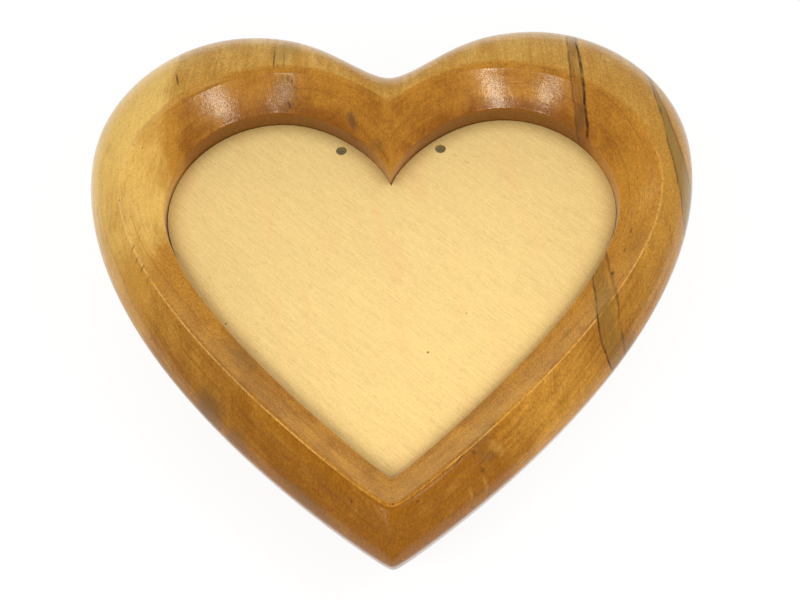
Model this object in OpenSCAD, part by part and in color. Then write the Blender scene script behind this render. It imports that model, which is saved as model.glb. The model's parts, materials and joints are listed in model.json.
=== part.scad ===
// Heart-shaped wind-up music box: a carved wooden case, a screwed-down soundboard,
// and an 18-note comb movement wound by a key in the underside.
// Origin: centre of the resting plane. +Z up, +Y towards the lobes, -Y towards the tip.

/* [Case outline] */
// Full width of the case across the lobes
case_w = 240; // [225:1:260]
// Full length of the case from the lobe tops to the tip
case_l = 231; // [220:1:250]
// Full height of the case, pads included
case_h = 64; // [60:1:72]
// Distance of each lobe's highest point from the middle line
case_lobe_x = 61; // [54:1:66]
// Height of the widest line above the middle of the length
case_side_y = 51.5; // [40:0.5:60]
// Depth of the outer cleft below the lobe tops
case_cleft_depth = 26.5; // [20:0.5:32]
// Slope of the outline as it leaves the outer cleft, in degrees
case_cleft_angle = 24; // [15:1:35]
// Height of the rounded shoulder, from the crest down to the widest line
shoulder_h = 12; // [9:0.5:15]

/* [Crest] */
// Width of the outer band at the sides
band_side = 16; // [12:0.5:20]
// Width of the outer band at the lobe tops
band_top = 26.5; // [20:0.5:30]
// Width of the outer band at the tip
band_tip = 15.5; // [13:0.5:19]
// Width of the outer band at the cleft
band_cleft = 20; // [16:0.5:24]
// Distance of each lobe's highest crest point from the middle line
crest_lobe_x = 42.5; // [39:0.5:47]
// Height of the crest's widest line above the middle of the length
crest_side_y = 34; // [28:0.5:40]
// Slope of the crest as it leaves its cleft, in degrees
crest_cleft_angle = 46; // [35:1:55]

/* [Front opening] */
// Width of the inner slope at the sides
slope_side = 14; // [11:0.5:17]
// Width of the inner slope at the lobe tops
slope_top = 12.5; // [10:0.5:16]
// Width of the inner slope at the tip
slope_tip = 16; // [13:0.5:19]
// Width of the inner slope at the cleft
slope_cleft = 25; // [21:0.5:28]
// Height of the inner slope
slope_h = 13; // [10:0.5:15]
// Depth of the soundboard's face below the crest
front_recess = 20; // [17:0.5:22]
// Distance of each lobe's highest opening point from the middle line
opening_lobe_x = 46; // [42:1:50]
// Height of the opening's widest line above the middle of the length
opening_side_y = 32; // [27:0.5:38]
// Slope of the opening as it leaves its cleft, in degrees
opening_cleft_angle = 75; // [60:1:80]

/* [Boards and base] */
// Thickness of the soundboard
soundboard_t = 4; // [3:0.5:5]
// Gap round the soundboard
soundboard_gap = 0.3; // [0.2:0.05:0.6]
// Width of the ledge that carries the soundboard
front_ledge = 12; // [11:0.5:13]
// Inset of the base recess from the front opening
base_inset = 6; // [5.5:0.5:7]
// Width of the rim that the case stands on
rim_w = 9; // [8:0.5:12]
// Depth of the key recess below the base board
key_recess = 10.5; // [10:0.5:13]
// Thickness of the base board
base_t = 4; // [3.5:0.5:5]
// Gap round the base board
base_gap = 0.3; // [0.2:0.05:0.6]
// Thickness of each felt pad
pad_t = 1.5; // [1:0.25:2.5]
// Diameter of each felt pad
pad_d = 7; // [5:0.5:8]

/* [Case screws] */
// Distance of each soundboard screw from the middle line
face_screw_x = 20.5; // [18:0.5:23]
// Distance of the soundboard screws below the opening's lobe tops
face_screw_y = 14.5; // [13:0.5:16.5]
// Head diameter of a soundboard screw
face_head_d = 4; // [3.5:0.1:5]
// Head thickness of a soundboard screw
face_head_t = 0.8; // [0.6:0.1:1.2]
// Depth of a soundboard screw's head below the face
face_head_sink = 0.7; // [0.4:0.1:1]
// Length of a soundboard screw below its head
face_screw_l = 12; // [8:0.5:16]
// Shank diameter of the wood screws
wood_shank_d = 2.2; // [1.8:0.1:2.6]
// Head diameter of a base screw
base_head_d = 4.2; // [3.6:0.1:4.4]
// Length of a base screw, head included
base_screw_l = 16; // [11:0.5:18]

/* [Movement place] */
// Distance of the winding arbor from the middle line
arbor_x = -14; // [-18:0.5:-8]
// Distance of the winding arbor below the cleft of the movement's chamber
arbor_y = 27.2; // [24:0.1:32]

/* [Bedplate] */
// Thickness of the bedplate
plate_t = 2.4; // [2:0.1:3]
// Edge margin of the bedplate round the pieces that it carries
plate_margin = 1.2; // [0.8:0.1:2.5]
// Length of the bedplate across the cylinder
plate_l = 40; // [39:0.5:44]
// Shank diameter of the machine screws
screw_d = 1.6; // [1.4:0.1:1.8]
// Shank diameter of the movement screws
mount_screw_d = 2.5; // [2:0.1:3]
// Head diameter of the movement screws
mount_head_d = 5; // [4:0.1:6]

/* [Winding] */
// Diameter of the winding arbor in the bedplate
arbor_d = 4; // [3.6:0.1:4.4]
// Diameter of the arbor's core inside the spring
core_d = 5.2; // [4.8:0.1:5.6]
// Diameter of the arbor's top pivot
arbor_pivot_d = 2.4; // [2:0.1:3]
// Diameter of the arbor's threaded end
arbor_thread_d = 3; // [2.6:0.1:3.3]
// Wire diameter of the clutch spring
clutch_wire = 0.55; // [0.4:0.05:0.7]
// Number of turns of the clutch spring
clutch_turns = 5; // [4:1:6]
// Span of the key's wings
key_span = 23; // [20:0.5:28]
// Height of the key's wings
key_wing_h = 7.6; // [6.5:0.1:8]
// Thickness of the key's wings
key_wing_t = 1.8; // [1.4:0.1:2.4]
// Diameter of the key's hub
key_hub_d = 6.4; // [5.5:0.1:7.5]
// Height of the key's hub
key_hub_h = 7; // [6:0.1:7.5]
// Gap between the key's hub and the base board
key_gap = 1; // [0.5:0.1:1.3]

/* [Spring barrel] */
// Outer diameter of the barrel's drum
drum_d = 19.2; // [18:0.1:19.4]
// Wall of the barrel's drum
drum_wall = 0.7; // [0.5:0.1:1]
// Height of the barrel's drum
drum_h = 10; // [8:0.5:11]
// Thickness of the crown wheel and of the barrel's cap
disc_t = 1.2; // [1:0.1:1.4]
// Diameter of the crown wheel
crown_d = 24; // [23.8:0.1:24.4]
// Mean diameter of the crown wheel's row of teeth
crown_pitch_d = 22; // [21.8:0.1:22.2]
// Number of the crown wheel's teeth
crown_teeth = 42;
// Number of the drive pinion's teeth
drive_teeth = 14;
// Strip thickness of the mainspring
spring_t = 0.28; // [0.2:0.02:0.35]
// Number of turns of the mainspring
spring_turns = 7; // [5:1:9]

/* [Cylinder] */
// Diameter of the pinned cylinder
cylinder_d = 12.4; // [11.5:0.1:12.6]
// Length of the pinned cylinder
cylinder_l = 19; // [18.6:0.1:20]
// Diameter of the cylinder's shaft
shaft_d = 1.8; // [1.5:0.1:2.2]
// Diameter of each pin
pin_d = 0.4; // [0.3:0.05:0.5]
// Height of each pin
pin_h = 0.45; // [0.3:0.05:0.6]
// Number of notes
notes = 18; // [15:1:18]
// Number of pins for each note
pins_per_note = 5; // [3:1:6]

/* [Comb] */
// Distance between neighbouring tines
note_pitch = 1.02; // [0.95:0.01:1.03]
// Width of each tine
tine_w = 0.74; // [0.6:0.02:0.8]
// Thickness of each tine
tine_t = 0.5; // [0.4:0.05:0.7]
// Gap between the tines' tips and the pins
tip_gap = 0.08; // [0.05:0.01:0.12]
// Length of the longest tine
tine_l = 8.6; // [8:0.1:9]
// Thickness of the comb's body
comb_t = 1.4; // [1.2:0.1:1.8]
// Width of the comb's body
comb_body_w = 4.8; // [4.4:0.1:5]

/* [Governor] */
// Tooth size of the cylinder wheel and the governor pinion
wheel_module = 0.4; // [0.39:0.005:0.41]
// Number of the cylinder wheel's teeth
wheel_teeth = 30;
// Number of the governor pinion's teeth
governor_teeth = 10;
// Number of the worm wheel's teeth
worm_wheel_teeth = 20;
// Rise of the worm in one turn
worm_pitch = 1.2; // [1.18:0.01:1.22]
// Mean diameter of the worm's thread
worm_d = 3.7; // [3.6:0.05:3.9]
// Span of the fan
fan_span = 11; // [9:0.1:11.4]
// Height of the fan's wings
fan_h = 3.2; // [2.4:0.1:3.6]
// Thickness of the fan's wings
fan_t = 0.4; // [0.3:0.05:0.6]
// Thickness of the governor frame's cheeks and of the cylinder bracket
cheek_t = 1; // [0.8:0.05:1.1]
// Diameter of the governor arbor
governor_arbor_d = 1.4; // [1.2:0.1:1.6]
// Diameter of the worm shaft's pivots
worm_pivot_d = 0.9; // [0.7:0.05:1.1]

/* [Hidden] */
$fn = 48;

// Clearances
run_fit = 0.03;        // radial, a shaft in its bearing
seat_fit = 0.02;       // radial, a wheel or a jewel on its seat
screw_fit = 0.05;      // radial, a screw in its hole
head_gap = 0.2;        // radial, a sunk head in its recess
face_gap = 0.3;        // between pieces that turn past each other
eps = 0.01;            // overlap of cutters and of joined shapes

// Heights of the wooden pieces
rim_z = pad_t;
base_z = rim_z + key_recess;
base_top = base_z + base_t;
face_z = case_h - front_recess;
ledge_z = face_z - soundboard_t;
slope_z = case_h - slope_h;
face_head_z = face_z - face_head_sink - face_head_t;
face_tip_z = face_head_z - face_screw_l;
shoulder_z = case_h - shoulder_h;

// A heart is a list: half width, cleft height, lobe distance, top, side height, tip,
// then the cleft's angle, the pull of the curve at the cleft, and its pull down the flank.
LOBE_PULL = 0.5;
TOP_PULL = 0.55;
outer_heart = [case_w / 2, case_l / 2 - case_cleft_depth, case_lobe_x, case_l / 2,
    case_side_y, -case_l / 2, case_cleft_angle, 0.38, 0.55];
crest_heart = [case_w / 2 - band_side, case_l / 2 - case_cleft_depth - band_cleft,
    crest_lobe_x, case_l / 2 - band_top, crest_side_y, -case_l / 2 + band_tip,
    crest_cleft_angle, 0.1, 0.41];
opening_heart = [crest_heart[0] - slope_side, crest_heart[1] - slope_cleft, opening_lobe_x,
    crest_heart[3] - slope_top, opening_side_y, crest_heart[5] + slope_tip,
    opening_cleft_angle, 0.25, 0.37];
CLEFT_INSET = 1.4;     // a parallel inset moves the cleft by this much of its width
TIP_INSET = 1.35;      // and the tip by this much
recess_heart = inset(opening_heart, base_inset);
rim_heart = inset(opening_heart, base_inset - rim_w);
chamber_heart = inset(opening_heart, front_ledge);
screw_line_y = opening_heart[3] - face_screw_y;
movement_y = chamber_heart[1] - arbor_y;

// Points along each stretch of half a heart: cleft to lobe, lobe to side, side to tip
CLEFT_STEPS = 14;
LOBE_STEPS = 16;
FLANK_STEPS = 26;
SIDE_INDEX = CLEFT_STEPS + LOBE_STEPS;
HALF_POINTS = SIDE_INDEX + FLANK_STEPS;
SHOULDER_STEPS = 6;
BOWL_STEPS = 8;
BOWL_FULL_H = 14;      // drop of the bowl's first handle
BOWL_IN = 0.5;         // inward place of the bowl's second handle
BOWL_LOW_H = 14;       // height of the bowl's second handle above the rim

// Places of the base screws and pads, as points along half a heart
BASE_SCREW_AT = [CLEFT_STEPS, SIDE_INDEX, SIDE_INDEX + 16];
PAD_AT = [CLEFT_STEPS, SIDE_INDEX + 14];
BASE_SINK_H = 1.6;     // height of a countersunk head

// The movement's own frame: origin on the winding arbor, at the bedplate's underside
crown_z = plate_t + 2 * face_gap;
crown_top = crown_z + disc_t;
crown_tooth_h = 1.1;
crown_pitch_z = crown_top + crown_tooth_h / 2;
drive_r = crown_pitch_d / 2 * drive_teeth / crown_teeth;
axle_z = crown_pitch_z + drive_r;
drum_top = crown_top + drum_h;
cap_top = drum_top + disc_t;
tooth_add = 0.5;       // height of a drive tooth outside its pitch circle
tooth_ded = 0.62;      // depth of a drive tooth inside it

drive_x0 = drum_d / 2 + face_gap + 0.2;
drive_x1 = crown_d / 2;
bracket_x = drive_x1 + face_gap;
cylinder_x = bracket_x + cheek_t + face_gap;
cylinder_end = cylinder_x + cylinder_l;
wheel_t = 1.2;
cheek_x = cylinder_end + wheel_t + face_gap;
worm_wheel_t = 2;
worm_wheel_x = cheek_x + cheek_t + 2 * face_gap;
worm_x = worm_wheel_x + worm_wheel_t / 2;
far_cheek_x = worm_wheel_x + worm_wheel_t + 2 * face_gap;
frame_end = far_cheek_x + cheek_t;

// The governor arbor lies behind the cylinder, at this angle above the cylinder's shaft
mesh_angle = 18;
mesh_distance = wheel_module * (wheel_teeth + governor_teeth) / 2;
governor_y = -mesh_distance * cos(mesh_angle);
governor_z = axle_z + mesh_distance * sin(mesh_angle);
worm_wheel_r = worm_pitch * worm_wheel_teeth / (2 * PI);
worm_y = governor_y - worm_wheel_r - worm_d / 2;
worm_add = 0.4;        // height of the worm's thread and the wheel's teeth outside the pitch line
worm_ded = 0.5;        // depth inside it
WORM_TURNS = 5;        // odd, so that the thread passes half a pitch off the wheel's tooth
fan_z = plate_t + 3 * face_gap;
fan_top = fan_z + fan_h;
frame_z = governor_z + worm_wheel_r + worm_add + 3 * face_gap;
frame_floor_t = 1;
frame_top = frame_z + 1.2;
cheek_front = 3.5;     // front edge of the cheeks
cheek_low_back = worm_y + fan_span / 2 + 2 * face_gap;
cheek_high_back = worm_y + worm_d / 2 + worm_add + face_gap;
bridge_back = worm_y - 2.6;

comb_tip_y = cylinder_d / 2 + pin_h + tip_gap;
comb_y = comb_tip_y + tine_l;
comb_end_y = comb_y + comb_body_w;
tine_z = axle_z - tine_t / 2;
bolster_z = tine_z - (comb_t - tine_t) / 2;
comb_x = cylinder_x + (cylinder_l - notes * note_pitch) / 2;

plate_x0 = -crown_d / 2 - plate_margin;
plate_x1 = frame_end + 2.4 + plate_margin;
plate_y0 = comb_end_y + plate_margin - plate_l;
plate_y1 = comb_end_y + plate_margin;
bridge_w = 5;
bridge_t = 1.2;
leg_y = crown_d / 2 + face_gap + 0.3;
foot_l = 4.6;
bridge_foot_screw_y = leg_y + bridge_t + (foot_l - bridge_t) / 2;
bridge_z = cap_top + face_gap + 0.2;
pocket_z = axle_z - cylinder_d / 2 - pin_h - face_gap;   // room for the cylinder's pins
pocket_w = cylinder_d / 2 + 2;
MOUNT_SCREWS = [[plate_x0 + 4, plate_y0 + 4], [plate_x0 + 4, plate_y1 - 4],
    [plate_x1 - 4, plate_y1 - 4]];
COMB_SCREWS = [0.14, 0.5, 0.86];
FRAME_SCREWS = [1.3, -4.3];
key_wing_z = -base_t - key_gap - key_hub_h + key_wing_h / 2 - 1.2;
arbor_end_z = -base_t - key_gap - key_hub_h + 1.5;
machine_head_d = screw_d + 1;
machine_head_h = 0.8;
machine_screw_l = plate_t - 0.4;
end_stone_d = 2;
end_stone_t = 0.7;

// ---------- outlines ----------

// Cubic curve through n points, its last point left out
function curve(a, b, c, d, n) =
    [for (i = [0:n - 1]) let (t = i / n, u = 1 - t)
        u * u * u * a + 3 * u * u * t * b + 3 * u * t * t * c + t * t * t * d];

// Right half of a heart, from the cleft over the lobe and the side to the tip
function half_heart(h) =
    let (cleft = [0, h[1]], lobe = [h[2], h[3]], side = [h[0], h[4]], tip = [0, h[5]])
    let (rise = h[7] * h[2] * [cos(h[6]), sin(h[6])])
    concat(
        curve(cleft, cleft + rise, lobe - [LOBE_PULL * h[2], 0], lobe, CLEFT_STEPS),
        curve(lobe, lobe + [TOP_PULL * (h[0] - h[2]), 0],
            side + [0, TOP_PULL * (h[3] - h[4])], side, LOBE_STEPS),
        curve(side, side - [0, h[8] * (h[4] - h[5])], tip, tip, FLANK_STEPS),
        [tip]);

// Whole heart, clockwise from the cleft
function heart(h) =
    let (right = half_heart(h))
    concat(right, [for (i = [HALF_POINTS - 1:-1:1]) [-right[i][0], right[i][1]]]);

// The same heart moved inwards by d all round
function inset(h, d) =
    [h[0] - d, h[1] - CLEFT_INSET * d, h[2], h[3] - d, h[4], h[5] + TIP_INSET * d,
        h[6], h[7], h[8]];

// Ring of 3D points between two hearts at height z
function ring(a, b, share, z) =
    [for (i = [0:len(a) - 1]) let (p = a[i] + share * (b[i] - a[i])) [p[0], p[1], z]];

// Middle of two hearts' edges at one point
function between(a, b, i) = (half_heart(a)[i] + half_heart(b)[i]) / 2;

// The case's rings in order: crest, shoulder, bowl, rim, recess, chamber, opening, slope
function case_rings() =
    let (crest = heart(crest_heart), outer = heart(outer_heart), rim = heart(rim_heart))
    let (recess = heart(recess_heart), chamber = heart(chamber_heart))
    let (opening = heart(opening_heart))
    let (bowl_h = shoulder_z - rim_z)
    concat(
        [for (i = [0:SHOULDER_STEPS]) let (a = 90 * i / SHOULDER_STEPS)
            ring(crest, outer, sin(a), case_h - shoulder_h * (1 - cos(a)))],
        [for (i = [1:BOWL_STEPS]) let (t = i / BOWL_STEPS, u = 1 - t)
            ring(outer, rim, 3 * u * t * t * BOWL_IN + t * t * t,
                rim_z + u * u * u * bowl_h + 3 * u * u * t * (bowl_h - BOWL_FULL_H)
                    + 3 * u * t * t * BOWL_LOW_H)],
        [ring(recess, recess, 0, rim_z)],
        [ring(recess, recess, 0, base_top)],
        [ring(chamber, chamber, 0, base_top)],
        [ring(chamber, chamber, 0, ledge_z)],
        [ring(opening, opening, 0, ledge_z)],
        [ring(opening, opening, 0, slope_z)]);

// Closed skin over a loop of rings
module ring_loop(rings) {
    m = len(rings);
    n = len(rings[0]);
    points = [for (r = rings) each r];
    faces = [for (j = [0:m - 1]) for (i = [0:n - 1])
        let (k = (j + 1) % m, l = (i + 1) % n)
        each [[j * n + i, k * n + i, k * n + l], [j * n + i, k * n + l, j * n + l]]];
    polyhedron(points, faces);
}

module both_sides() {
    children();
    mirror([1, 0, 0]) children();
}

module heart_board(outline, t) {
    linear_extrude(t) polygon(heart(outline));
}

// ---------- wooden pieces ----------

module heart_case() {
    color("#d9a25c") difference() {
        ring_loop(case_rings());
        both_sides() {
            translate([face_screw_x, screw_line_y, face_tip_z - 0.5])
                cylinder(d = wood_shank_d + 2 * screw_fit, h = face_screw_l);
            for (i = BASE_SCREW_AT)
                translate(base_screw_at(i) + [0, 0, base_z])
                    cylinder(d = wood_shank_d + 2 * screw_fit, h = base_screw_l + 1);
        }
    }
}

module soundboard() {
    color("#f0dcae") difference() {
        translate([0, 0, ledge_z])
            heart_board(inset(opening_heart, soundboard_gap), soundboard_t);
        both_sides() translate([face_screw_x, screw_line_y, 0]) {
            translate([0, 0, ledge_z - 1])
                cylinder(d = wood_shank_d + 2 * screw_fit, h = soundboard_t + 2);
            translate([0, 0, face_head_z])
                cylinder(d = face_head_d + 2 * head_gap, h = face_z - face_head_z + 1);
        }
    }
}

module soundboard_screws() {
    color("#8d8a80") both_sides() translate([face_screw_x, screw_line_y, 0]) difference() {
        union() {
            translate([0, 0, face_head_z]) cylinder(d = face_head_d, h = face_head_t);
            translate([0, 0, face_tip_z + 2])
                cylinder(d = wood_shank_d, h = face_screw_l - 2 + eps);
            translate([0, 0, face_tip_z])
                cylinder(d1 = 0.6, d2 = wood_shank_d, h = 2 + eps);
        }
        cross_slot(face_head_d, face_head_z + face_head_t / 2);
    }
}

// Cross recess in a screw's head, cut from height z upwards
module cross_slot(d, z) {
    for (a = [0, 90])
        translate([0, 0, z]) rotate(a) translate([-0.32 * d, -0.08 * d, 0])
            cube([0.64 * d, 0.16 * d, 3]);
}

function base_screw_at(i) =
    let (p = between(chamber_heart, recess_heart, i)) [p[0], p[1], 0];

module base_board() {
    color("#d8bd8a") difference() {
        translate([0, 0, base_z]) heart_board(inset(recess_heart, base_gap), base_t);
        translate([arbor_x, movement_y, base_z - 1])
            cylinder(d = arbor_d + 4 * clutch_wire + 2, h = base_t + 2);
        for (p = MOUNT_SCREWS)
            translate([arbor_x + p[0], movement_y + p[1], base_z - 1])
                cylinder(d = mount_screw_d + 2 * screw_fit, h = base_t + 2);
        both_sides() for (i = BASE_SCREW_AT) translate(base_screw_at(i) + [0, 0, base_z]) {
            translate([0, 0, -1]) cylinder(d = wood_shank_d + 2 * screw_fit, h = base_t + 2);
            translate([0, 0, -eps])
                cylinder(d1 = base_head_d + 0.1, d2 = wood_shank_d + 0.1, h = BASE_SINK_H);
        }
    }
}

module base_screws() {
    color("#b9b4a4") both_sides() for (i = BASE_SCREW_AT)
        translate(base_screw_at(i) + [0, 0, base_z]) difference() {
            union() {
                cylinder(d1 = base_head_d, d2 = wood_shank_d, h = BASE_SINK_H);
                cylinder(d = wood_shank_d, h = base_screw_l - 2);
                translate([0, 0, base_screw_l - 2 - eps])
                    cylinder(d1 = wood_shank_d, d2 = 0.6, h = 2);
            }
            mirror([0, 0, 1]) cross_slot(base_head_d, -0.7);
        }
}

module felt_pads() {
    color("#5b4a3a") both_sides() for (i = PAD_AT) {
        p = between(rim_heart, recess_heart, i);
        translate([p[0], p[1], 0]) cylinder(d = pad_d, h = pad_t);
    }
}

// ---------- movement ----------

// Puts a piece into the movement's own frame
module in_movement() {
    translate([arbor_x, movement_y, base_top]) children();
}

// A cylinder along +X from x0 to x1 at height z and depth y
module rod(x0, x1, y, z, d) {
    translate([x0, y, z]) rotate([0, 90, 0]) cylinder(d = d, h = x1 - x0);
}

// Machine screw standing in a plate: head above z, shank below
module machine_screw(z, shank_l) {
    difference() {
        union() {
            translate([0, 0, z]) cylinder(d = machine_head_d, h = machine_head_h);
            translate([0, 0, z - shank_l]) cylinder(d = screw_d, h = shank_l + eps);
        }
        translate([-machine_head_d, -0.15, z + machine_head_h / 2])
            cube([2 * machine_head_d, 0.3, 2]);
    }
}

// Hole for a machine screw through a plate from z0 to z1
module screw_hole(z0, z1) {
    translate([0, 0, z0]) cylinder(d = screw_d + 2 * screw_fit, h = z1 - z0);
}

module bedplate() {
    color("#c9c6bd") in_movement() difference() {
        union() {
            translate([plate_x0, plate_y0, 0])
                cube([plate_x1 - plate_x0, plate_l, plate_t]);
            translate([comb_x - 1, comb_y + 0.4, 0])
                cube([notes * note_pitch + 2, comb_end_y - comb_y + 0.2, bolster_z]);
        }
        translate([0, 0, -1]) cylinder(d = arbor_d + 2 * run_fit, h = plate_t + 2);
        for (p = MOUNT_SCREWS)
            translate([p[0], p[1], -1]) cylinder(d = mount_screw_d + 2 * screw_fit, h = plate_t + 2);
        for (s = [-1, 1])
            translate([0, s * bridge_foot_screw_y, 0]) screw_hole(-1, plate_t + 1);
        for (t = COMB_SCREWS)
            translate([comb_screw_x(t), comb_screw_y(), 0]) screw_hole(bolster_z - 5, bolster_z + 1);
        translate([bracket_screw_x(), bracket_screw_y(), 0]) screw_hole(-1, plate_t + 1);
        for (y = FRAME_SCREWS) translate([worm_x, y, 0]) screw_hole(-1, plate_t + 1);
        translate([worm_x, worm_y, plate_t - 1.4])
            cylinder(d = worm_pivot_d + 2 * run_fit, h = 2);
        translate([cylinder_x - 0.2, -pocket_w / 2, pocket_z])
            cube([cheek_x - cylinder_x, pocket_w, plate_t]);
    }
}

module movement_screws() {
    head_h = 1.5;
    color("#b9b4a4") in_movement() for (p = MOUNT_SCREWS) translate([p[0], p[1], 0]) difference() {
        union() {
            translate([0, 0, -base_t - head_h]) cylinder(d = mount_head_d, h = head_h);
            translate([0, 0, -base_t - eps])
                cylinder(d = mount_screw_d, h = base_t + plate_t - 0.2);
        }
        mirror([0, 0, 1]) cross_slot(mount_head_d, base_t + head_h / 2);
    }
}

// Trapezoid tooth profile, base on the X axis
module tooth_shape(base_w, tip_w, h) {
    polygon([[-base_w / 2, -0.1], [base_w / 2, -0.1], [tip_w / 2, h], [-tip_w / 2, h]]);
}

module spring_barrel() {
    tooth_l = (crown_d - drum_d) / 2 - face_gap - 0.2;
    color("#c8a24a") in_movement() difference() {
        union() {
            translate([0, 0, crown_z]) cylinder(d = crown_d, h = disc_t, $fn = 96);
            translate([0, 0, crown_top - eps]) cylinder(d = drum_d, h = drum_h + eps, $fn = 96);
            for (i = [0:crown_teeth - 1])
                rotate((i + 0.5) * 360 / crown_teeth)
                    translate([crown_d / 2 - tooth_l, 0, crown_top])
                        rotate([90, 0, 90]) linear_extrude(tooth_l - 0.05)
                            tooth_shape(0.7, 0.36, crown_tooth_h);
        }
        translate([0, 0, crown_top]) cylinder(d = drum_d - 2 * drum_wall, h = drum_h + 1, $fn = 96);
        translate([0, 0, 0]) cylinder(d = arbor_d + 2 * run_fit, h = crown_top + 1);
    }
}

module barrel_cap() {
    color("#d9c07c") in_movement() difference() {
        union() {
            translate([0, 0, drum_top]) cylinder(d = drum_d, h = disc_t, $fn = 96);
            translate([0, 0, drum_top - 0.5])
                cylinder(d = drum_d - 2 * drum_wall - 2 * seat_fit, h = 0.5 + eps, $fn = 96);
        }
        translate([0, 0, drum_top - 1]) cylinder(d = arbor_pivot_d + 2 * run_fit, h = disc_t + 2);
    }
}

// Spiral strip wound from the core out to the drum's wall
module mainspring() {
    r0 = core_d / 2 + face_gap;
    r1 = drum_d / 2 - drum_wall - spring_t - 0.08;
    steps = 24 * spring_turns;
    inner = [for (i = [0:steps]) let (r = r0 + (r1 - r0) * i / steps, a = 15 * i)
        r * [cos(a), sin(a)]];
    outer = [for (i = [steps:-1:0]) let (r = r0 + spring_t + (r1 - r0) * i / steps, a = 15 * i)
        r * [cos(a), sin(a)]];
    color("#6f7680") in_movement() translate([0, 0, crown_top + face_gap])
        linear_extrude(drum_h - 0.5 - 2 * face_gap) polygon(concat(inner, outer));
}

module winding_arbor() {
    low_z = -base_t + 0.6;
    color("#9aa0a6") in_movement() union() {
        translate([0, 0, arbor_end_z])
            cylinder(d = arbor_thread_d, h = low_z - arbor_end_z + eps);
        translate([0, 0, low_z]) cylinder(d = arbor_d, h = crown_top + 0.15 - low_z);
        translate([0, 0, crown_top + 0.15 - eps])
            cylinder(d = core_d, h = drum_h - 0.5 - 0.3);
        translate([0, 0, drum_top - 0.8])
            cylinder(d = arbor_pivot_d, h = bridge_z + bridge_t + 0.2 - drum_top + 0.8);
    }
}

// Close-wound clutch spring round the arbor, below the bedplate
module clutch_spring() {
    r = arbor_d / 2 + screw_fit + clutch_wire / 2;
    color("#6f7680") in_movement() {
        for (i = [0:clutch_turns - 1])
            translate([0, 0, -clutch_wire / 2 - 0.9 * clutch_wire * i])
                rotate_extrude() translate([r, 0]) circle(d = clutch_wire, $fn = 16);
        translate([r, 0, -clutch_wire / 2]) rotate([-90, 0, 0])
            cylinder(d = clutch_wire, h = 2.2, $fn = 16);
    }
}

module winding_key() {
    hub_z = -base_t - key_gap - key_hub_h;
    wing_x = (key_span - key_wing_h) / 2;
    color("#b8b2a2") in_movement() difference() {
        union() {
            translate([0, 0, hub_z]) cylinder(d = key_hub_d, h = key_hub_h);
            translate([-wing_x, -key_wing_t / 2, key_wing_z - 1.7])
                cube([2 * wing_x, key_wing_t, 3.4]);
            for (s = [-1, 1])
                translate([s * wing_x, key_wing_t / 2, key_wing_z])
                    rotate([90, 0, 0]) cylinder(d = key_wing_h, h = key_wing_t);
        }
        for (s = [-1, 1])
            translate([s * wing_x, key_wing_t, key_wing_z])
                rotate([90, 0, 0]) cylinder(d = 0.5 * key_wing_h, h = 2 * key_wing_t);
        translate([0, 0, arbor_end_z - 0.1])
            cylinder(d = arbor_thread_d + 2 * seat_fit, h = key_hub_h);
    }
}

// Strap over the barrel that carries the arbor's top pivot
module barrel_bridge() {
    color("#c9c6bd") in_movement() difference() {
        union() {
            translate([-bridge_w / 2, -leg_y - bridge_t, bridge_z])
                cube([bridge_w, 2 * (leg_y + bridge_t), bridge_t]);
            for (s = [0, 1]) mirror([0, s, 0]) {
                translate([-bridge_w / 2, leg_y, plate_t])
                    cube([bridge_w, bridge_t, bridge_z - plate_t + eps]);
                translate([-bridge_w / 2, leg_y, plate_t]) cube([bridge_w, foot_l, 1]);
            }
        }
        translate([0, 0, bridge_z - 1])
            cylinder(d = arbor_pivot_d + 2 * run_fit, h = bridge_t + 2);
        for (s = [-1, 1])
            translate([0, s * bridge_foot_screw_y, 0]) screw_hole(plate_t - 1, plate_t + 2);
    }
}

module bridge_screws() {
    color("#b9b4a4") in_movement() for (s = [-1, 1])
        translate([0, s * bridge_foot_screw_y, 0])
            machine_screw(plate_t + 1, 1 + machine_screw_l);
}

function comb_screw_x(t) = comb_x + t * notes * note_pitch;
function comb_screw_y() = comb_y + comb_body_w / 2 + 0.2;

// Tines get shorter from the bass end to the treble end, where the body reaches forward
module comb() {
    short = 0.38;
    color("#9ea4ab") in_movement() difference() {
        union() {
            translate([comb_x, comb_y, bolster_z])
                cube([notes * note_pitch, comb_body_w, comb_t]);
            for (i = [0:notes - 1]) {
                root_y = comb_y - short * tine_l * i / notes;
                translate([comb_x + i * note_pitch, root_y, bolster_z])
                    cube([note_pitch + eps, comb_y - root_y + eps, comb_t]);
                translate([comb_x + (i + 0.5) * note_pitch - tine_w / 2, comb_tip_y, tine_z])
                    cube([tine_w, root_y - comb_tip_y + eps, tine_t]);
            }
        }
        for (t = COMB_SCREWS)
            translate([comb_screw_x(t), comb_screw_y(), 0])
                screw_hole(bolster_z - 1, bolster_z + comb_t + 1);
    }
}

module comb_screws() {
    color("#b9b4a4") in_movement() for (t = COMB_SCREWS)
        translate([comb_screw_x(t), comb_screw_y(), 0])
            machine_screw(bolster_z + comb_t, comb_t + 4);
}

// Pins stand in one ring for each note, each ring turned by the golden angle
module pin_cylinder() {
    golden = 137.5;
    color("#c8a24a") in_movement() difference() {
        union() {
            rod(cylinder_x, cylinder_end, 0, axle_z, cylinder_d);
            for (i = [0:notes - 1]) for (k = [0:pins_per_note - 1])
                translate([comb_x + (i + 0.5) * note_pitch, 0, axle_z])
                    rotate([golden * i + 360 * k / pins_per_note + 9 * (i * k % 5), 0, 0])
                        translate([0, 0, cylinder_d / 2 - 0.3])
                            cylinder(d = pin_d, h = pin_h + 0.3, $fn = 16);
        }
        rod(cylinder_x - 1, cylinder_end + 1, 0, axle_z, shaft_d + 2 * seat_fit);
    }
}

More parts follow.
